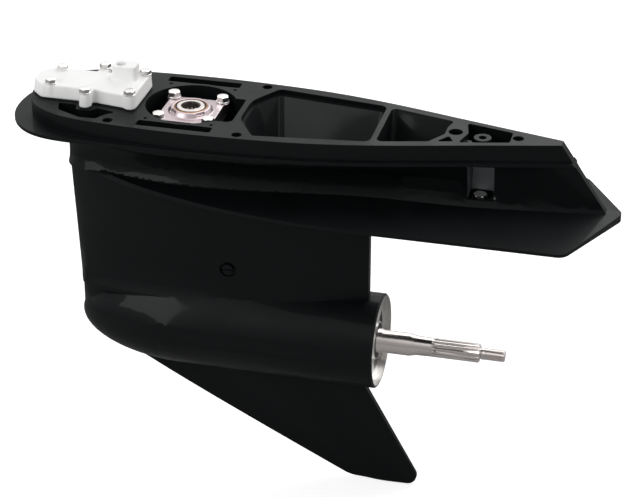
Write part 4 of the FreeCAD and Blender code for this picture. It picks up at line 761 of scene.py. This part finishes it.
class LOWERUNIT_OT_inner(Piece, bpy.types.Operator):
    """Finishes of the gear train, bearings, clutch, linkage, carrier and seals"""
    bl_idname = "lowerunit.inner"
    bl_label = "Inner pieces"

    def execute(self, context):
        # Case-hardened gear steel: grey, oiled, ground teeth
        gear = surface("hardened_gear_steel", self.colours.gear, 1.0, 0.32, 1.0, 0.03, tint=0.2)
        # Ground bearing steel: near mirror
        race = surface("ground_bearing_steel", self.colours.bearing, 1.0, 0.14, 0.6, 0.01,
                       spread=0.04, tint=0.06)
        # Bearing bronze: warm, satin, turned
        bronze = surface("bearing_bronze", self.colours.bronze, 1.0, 0.35, 0.7, 0.03, tint=0.18)
        # Nitrile rubber: dull black
        rubber = surface("nitrile_rubber", self.colours.rubber, 0.0, 0.62, 0.6, 0.03, specular=0.35)
        # Machined aluminium: pale, with facing rings
        faced = lathe_marks("machined_carrier_aluminium", self.colours.carrier, 0.3, "X", 1.0,
                            centre=(0, 0, PROP_AXIS_Z), depth_mm=0.03)
        finishes = {
            gear: ("pinion_gear", "forward_gear", "reverse_gear", "clutch_dog", "shift_spool", "shift_crank"),
            race: ("driveshaft_bearing_cup", "driveshaft_bearing_cone", "driveshaft_bearing_rollers",
                   "pinion_bearing", "forward_bearing_cup", "forward_bearing_cone", "forward_bearing_rollers",
                   "reverse_bearing_race", "reverse_bearing_balls", "carrier_needle_bearing",
                   "clutch_pin_spring", "bearing_shim"),
            bronze: ("forward_gear_bush", "reverse_gear_bush", "reverse_thrust_washer", "shift_bush"),
            rubber: ("carrier_o_rings", "propeller_shaft_seals", "oil_plug_gaskets"),
            faced: ("bearing_carrier", "carrier_ring_nut"),
        }
        for material, nodes in finishes.items():
            for node in nodes:
                paint(node, material)
        return {"FINISHED"}


class LOWERUNIT_OT_stage(Piece, bpy.types.Operator):
    """Floor, white surround, lamps and the camera"""
    bl_idname = "lowerunit.stage"
    bl_label = "Studio"

    middle = (0.1, 0.0, -0.15)
    strut_foot = (-0.06, -0.045, -0.275)

    # Softboxes: name, place and aim in metres, width and height, watts
    lamps = (
        ("starboard_softbox", (0.6, 1.7, 1.25), middle, (1.8, 1.0), 12.0),
        ("overhead_softbox", (0.6, 0.35, 1.7), middle, (1.2, 0.8), 8.0),
        ("bow_softbox", (-1.22, -1.43, 0.99), strut_foot, (1.3, 0.9), 18.0),
        ("aft_softbox", (2.2, -0.6, 0.6), middle, (0.8, 1.2), 7.0),
    )
    ambient = 0.46                 # the surround's strength as plain light
    floor_reach = 12.0
    floor_gap = 1 * MM             # between the floor and the object's lowest point

    def white_floor(self, lit, glow, mirrored):
        """White ground: keeps the object's shadow, reads white to the camera, and is dim in reflections."""
        material, tree, shader = new_material("white_floor")
        path = add(tree, "ShaderNodeLightPath")
        seen = add(tree, "ShaderNodeMath", [(path.outputs["Is Camera Ray"], 0),
                                            (path.outputs["Is Transmission Ray"], 1)], operation="MAXIMUM")
        strength = add(tree, "ShaderNodeMath", [(seen.outputs[0], 0)], operation="MULTIPLY")
        strength.inputs[1].default_value = glow
        tone = add(tree, "ShaderNodeMix", [(path.outputs["Is Glossy Ray"], 0)], data_type="RGBA")
        tone.inputs[6].default_value = (lit, lit, lit, 1)
        tone.inputs[7].default_value = (mirrored, mirrored, mirrored, 1)
        tree.links.new(tone.outputs[2], shader.inputs["Base Color"])
        shader.inputs["Roughness"].default_value = 0.9
        shader.inputs["Specular IOR Level"].default_value = 0.0
        shader.inputs["Emission Color"].default_value = (1, 1, 1, 1)
        tree.links.new(strength.outputs[0], shader.inputs["Emission Strength"])
        return material

    def surround(self):
        """White to the camera, grey as light, and in reflections bright overhead and dim towards port."""
        world = bpy.data.worlds.new("surround")
        world.use_nodes = True
        tree = world.node_tree
        ground = tree.nodes["Background"]
        path = add(tree, "ShaderNodeLightPath")
        place = add(tree, "ShaderNodeTexCoord")
        parts = add(tree, "ShaderNodeSeparateXYZ", [(place.outputs["Generated"], 0)])
        side = add(tree, "ShaderNodeMapRange", [(parts.outputs["Y"], "Value")],
                   interpolation_type="SMOOTHSTEP",
                   inputs={"From Min": -0.5, "From Max": 0.4, "To Min": 0.4, "To Max": 1.2})
        rise = add(tree, "ShaderNodeMapRange", [(parts.outputs["Z"], "Value")],
                   interpolation_type="SMOOTHSTEP",
                   inputs={"From Min": 0.35, "From Max": 0.9, "To Min": 0.0, "To Max": 0.6})
        mirrored = add(tree, "ShaderNodeMath", [(side.outputs[0], 0), (rise.outputs[0], 1)], operation="ADD")
        level = add(tree, "ShaderNodeMix", [(path.outputs["Is Glossy Ray"], 0), (mirrored.outputs[0], 3)],
                    data_type="FLOAT", inputs={2: self.ambient})
        shown = add(tree, "ShaderNodeMix", [(path.outputs["Is Camera Ray"], 0), (level.outputs[0], 2)],
                    data_type="FLOAT", inputs={3: 1.0})
        tree.links.new(shown.outputs[0], ground.inputs["Strength"])
        ground.inputs["Color"].default_value = (1, 1, 1, 1)
        return world

    def lamp(self, name, spot, aim, size, power):
        data = bpy.data.lights.new(name, "AREA")
        data.shape = "RECTANGLE"
        data.size, data.size_y = size
        data.energy = power
        lamp = bpy.data.objects.new(name, data)
        bpy.context.scene.collection.objects.link(lamp)
        direction = Vector(aim) - Vector(spot)
        turn = direction.to_track_quat("-Z", "Y").to_matrix().to_4x4()
        lamp.matrix_world = Matrix.Translation(spot) @ turn

    def camera(self, studio):
        turn, rise, roll = (math.radians(v) for v in (studio.azimuth, studio.elevation, studio.roll))
        back = Vector((math.sin(turn) * math.cos(rise), -math.cos(turn) * math.cos(rise), math.sin(rise)))
        right = Vector((math.cos(turn), math.sin(turn), 0))
        up = back.cross(right)
        level = right * math.cos(roll) - up * math.sin(roll)
        tall = right * math.sin(roll) + up * math.cos(roll)
        spot = back * studio.distance + level * studio.shift_right + tall * studio.shift_up
        data = bpy.data.cameras.new("camera")
        data.lens = studio.lens
        data.sensor_width = 36.0
        data.sensor_fit = "HORIZONTAL"
        data.clip_end = 50.0
        camera = bpy.data.objects.new("camera", data)
        camera.matrix_world = Matrix((
            (level.x, tall.x, back.x, spot.x),
            (level.y, tall.y, back.y, spot.y),
            (level.z, tall.z, back.z, spot.z + PROP_AXIS_Z),
            (0, 0, 0, 1),
        ))
        bpy.context.scene.collection.objects.link(camera)
        bpy.context.scene.camera = camera

    def execute(self, context):
        floor_z = CAD_BOX[0][2] - self.floor_gap
        reach = self.floor_reach
        corners = [(-reach, -reach, floor_z), (reach, -reach, floor_z),
                   (reach, reach, floor_z), (-reach, reach, floor_z)]
        floor = mesh_piece("floor", corners, [(0, 1, 2, 3)])
        floor.data.materials.append(self.white_floor(lit=0.75, glow=0.6, mirrored=0.5))
        context.scene.world = self.surround()
        for lamp in self.lamps:
            self.lamp(*lamp)
        self.camera(context.scene.lower_unit_studio)
        context.scene.view_settings.view_transform = "Standard"
        return {"FINISHED"}


class LOWERUNIT_PT_panel(bpy.types.Panel):
    """Lists the lower unit's sizes, colours and builders"""
    bl_label = "Lower unit"
    bl_idname = "LOWERUNIT_PT_panel"
    bl_space_type = "VIEW_3D"
    bl_region_type = "UI"
    bl_category = "Lower unit"

    def draw(self, context):
        layout = self.layout
        for group in (context.scene.lower_unit_sizes, context.scene.lower_unit_colours):
            for name in group.__annotations__:
                layout.prop(group, name)
        for operator in OPERATORS:
            layout.operator(operator.bl_idname)


OPERATORS = (LOWERUNIT_OT_gearcase, LOWERUNIT_OT_cover, LOWERUNIT_OT_bolts, LOWERUNIT_OT_retainer,
             LOWERUNIT_OT_shafts, LOWERUNIT_OT_inner, LOWERUNIT_OT_stage)
GROUPS = {"lower_unit_sizes": LowerUnitSizes, "lower_unit_colours": LowerUnitColours,
          "lower_unit_studio": LowerUnitStudio}


def register():
    for cls in list(GROUPS.values()) + list(OPERATORS) + [LOWERUNIT_PT_panel]:
        bpy.utils.register_class(cls)
    for name, group in GROUPS.items():
        setattr(bpy.types.Scene, name, bpy.props.PointerProperty(type=group))


def unregister():
    for name in GROUPS:
        delattr(bpy.types.Scene, name)
    for cls in [LOWERUNIT_PT_panel] + list(reversed(OPERATORS)) + list(GROUPS.values()):
        bpy.utils.unregister_class(cls)


def main():
    register()
    bpy.ops.lowerunit.gearcase()
    bpy.ops.lowerunit.cover()
    bpy.ops.lowerunit.bolts()
    bpy.ops.lowerunit.retainer()
    bpy.ops.lowerunit.shafts()
    bpy.ops.lowerunit.inner()
    bpy.ops.lowerunit.stage()


if __name__ == "__main__":
    main()
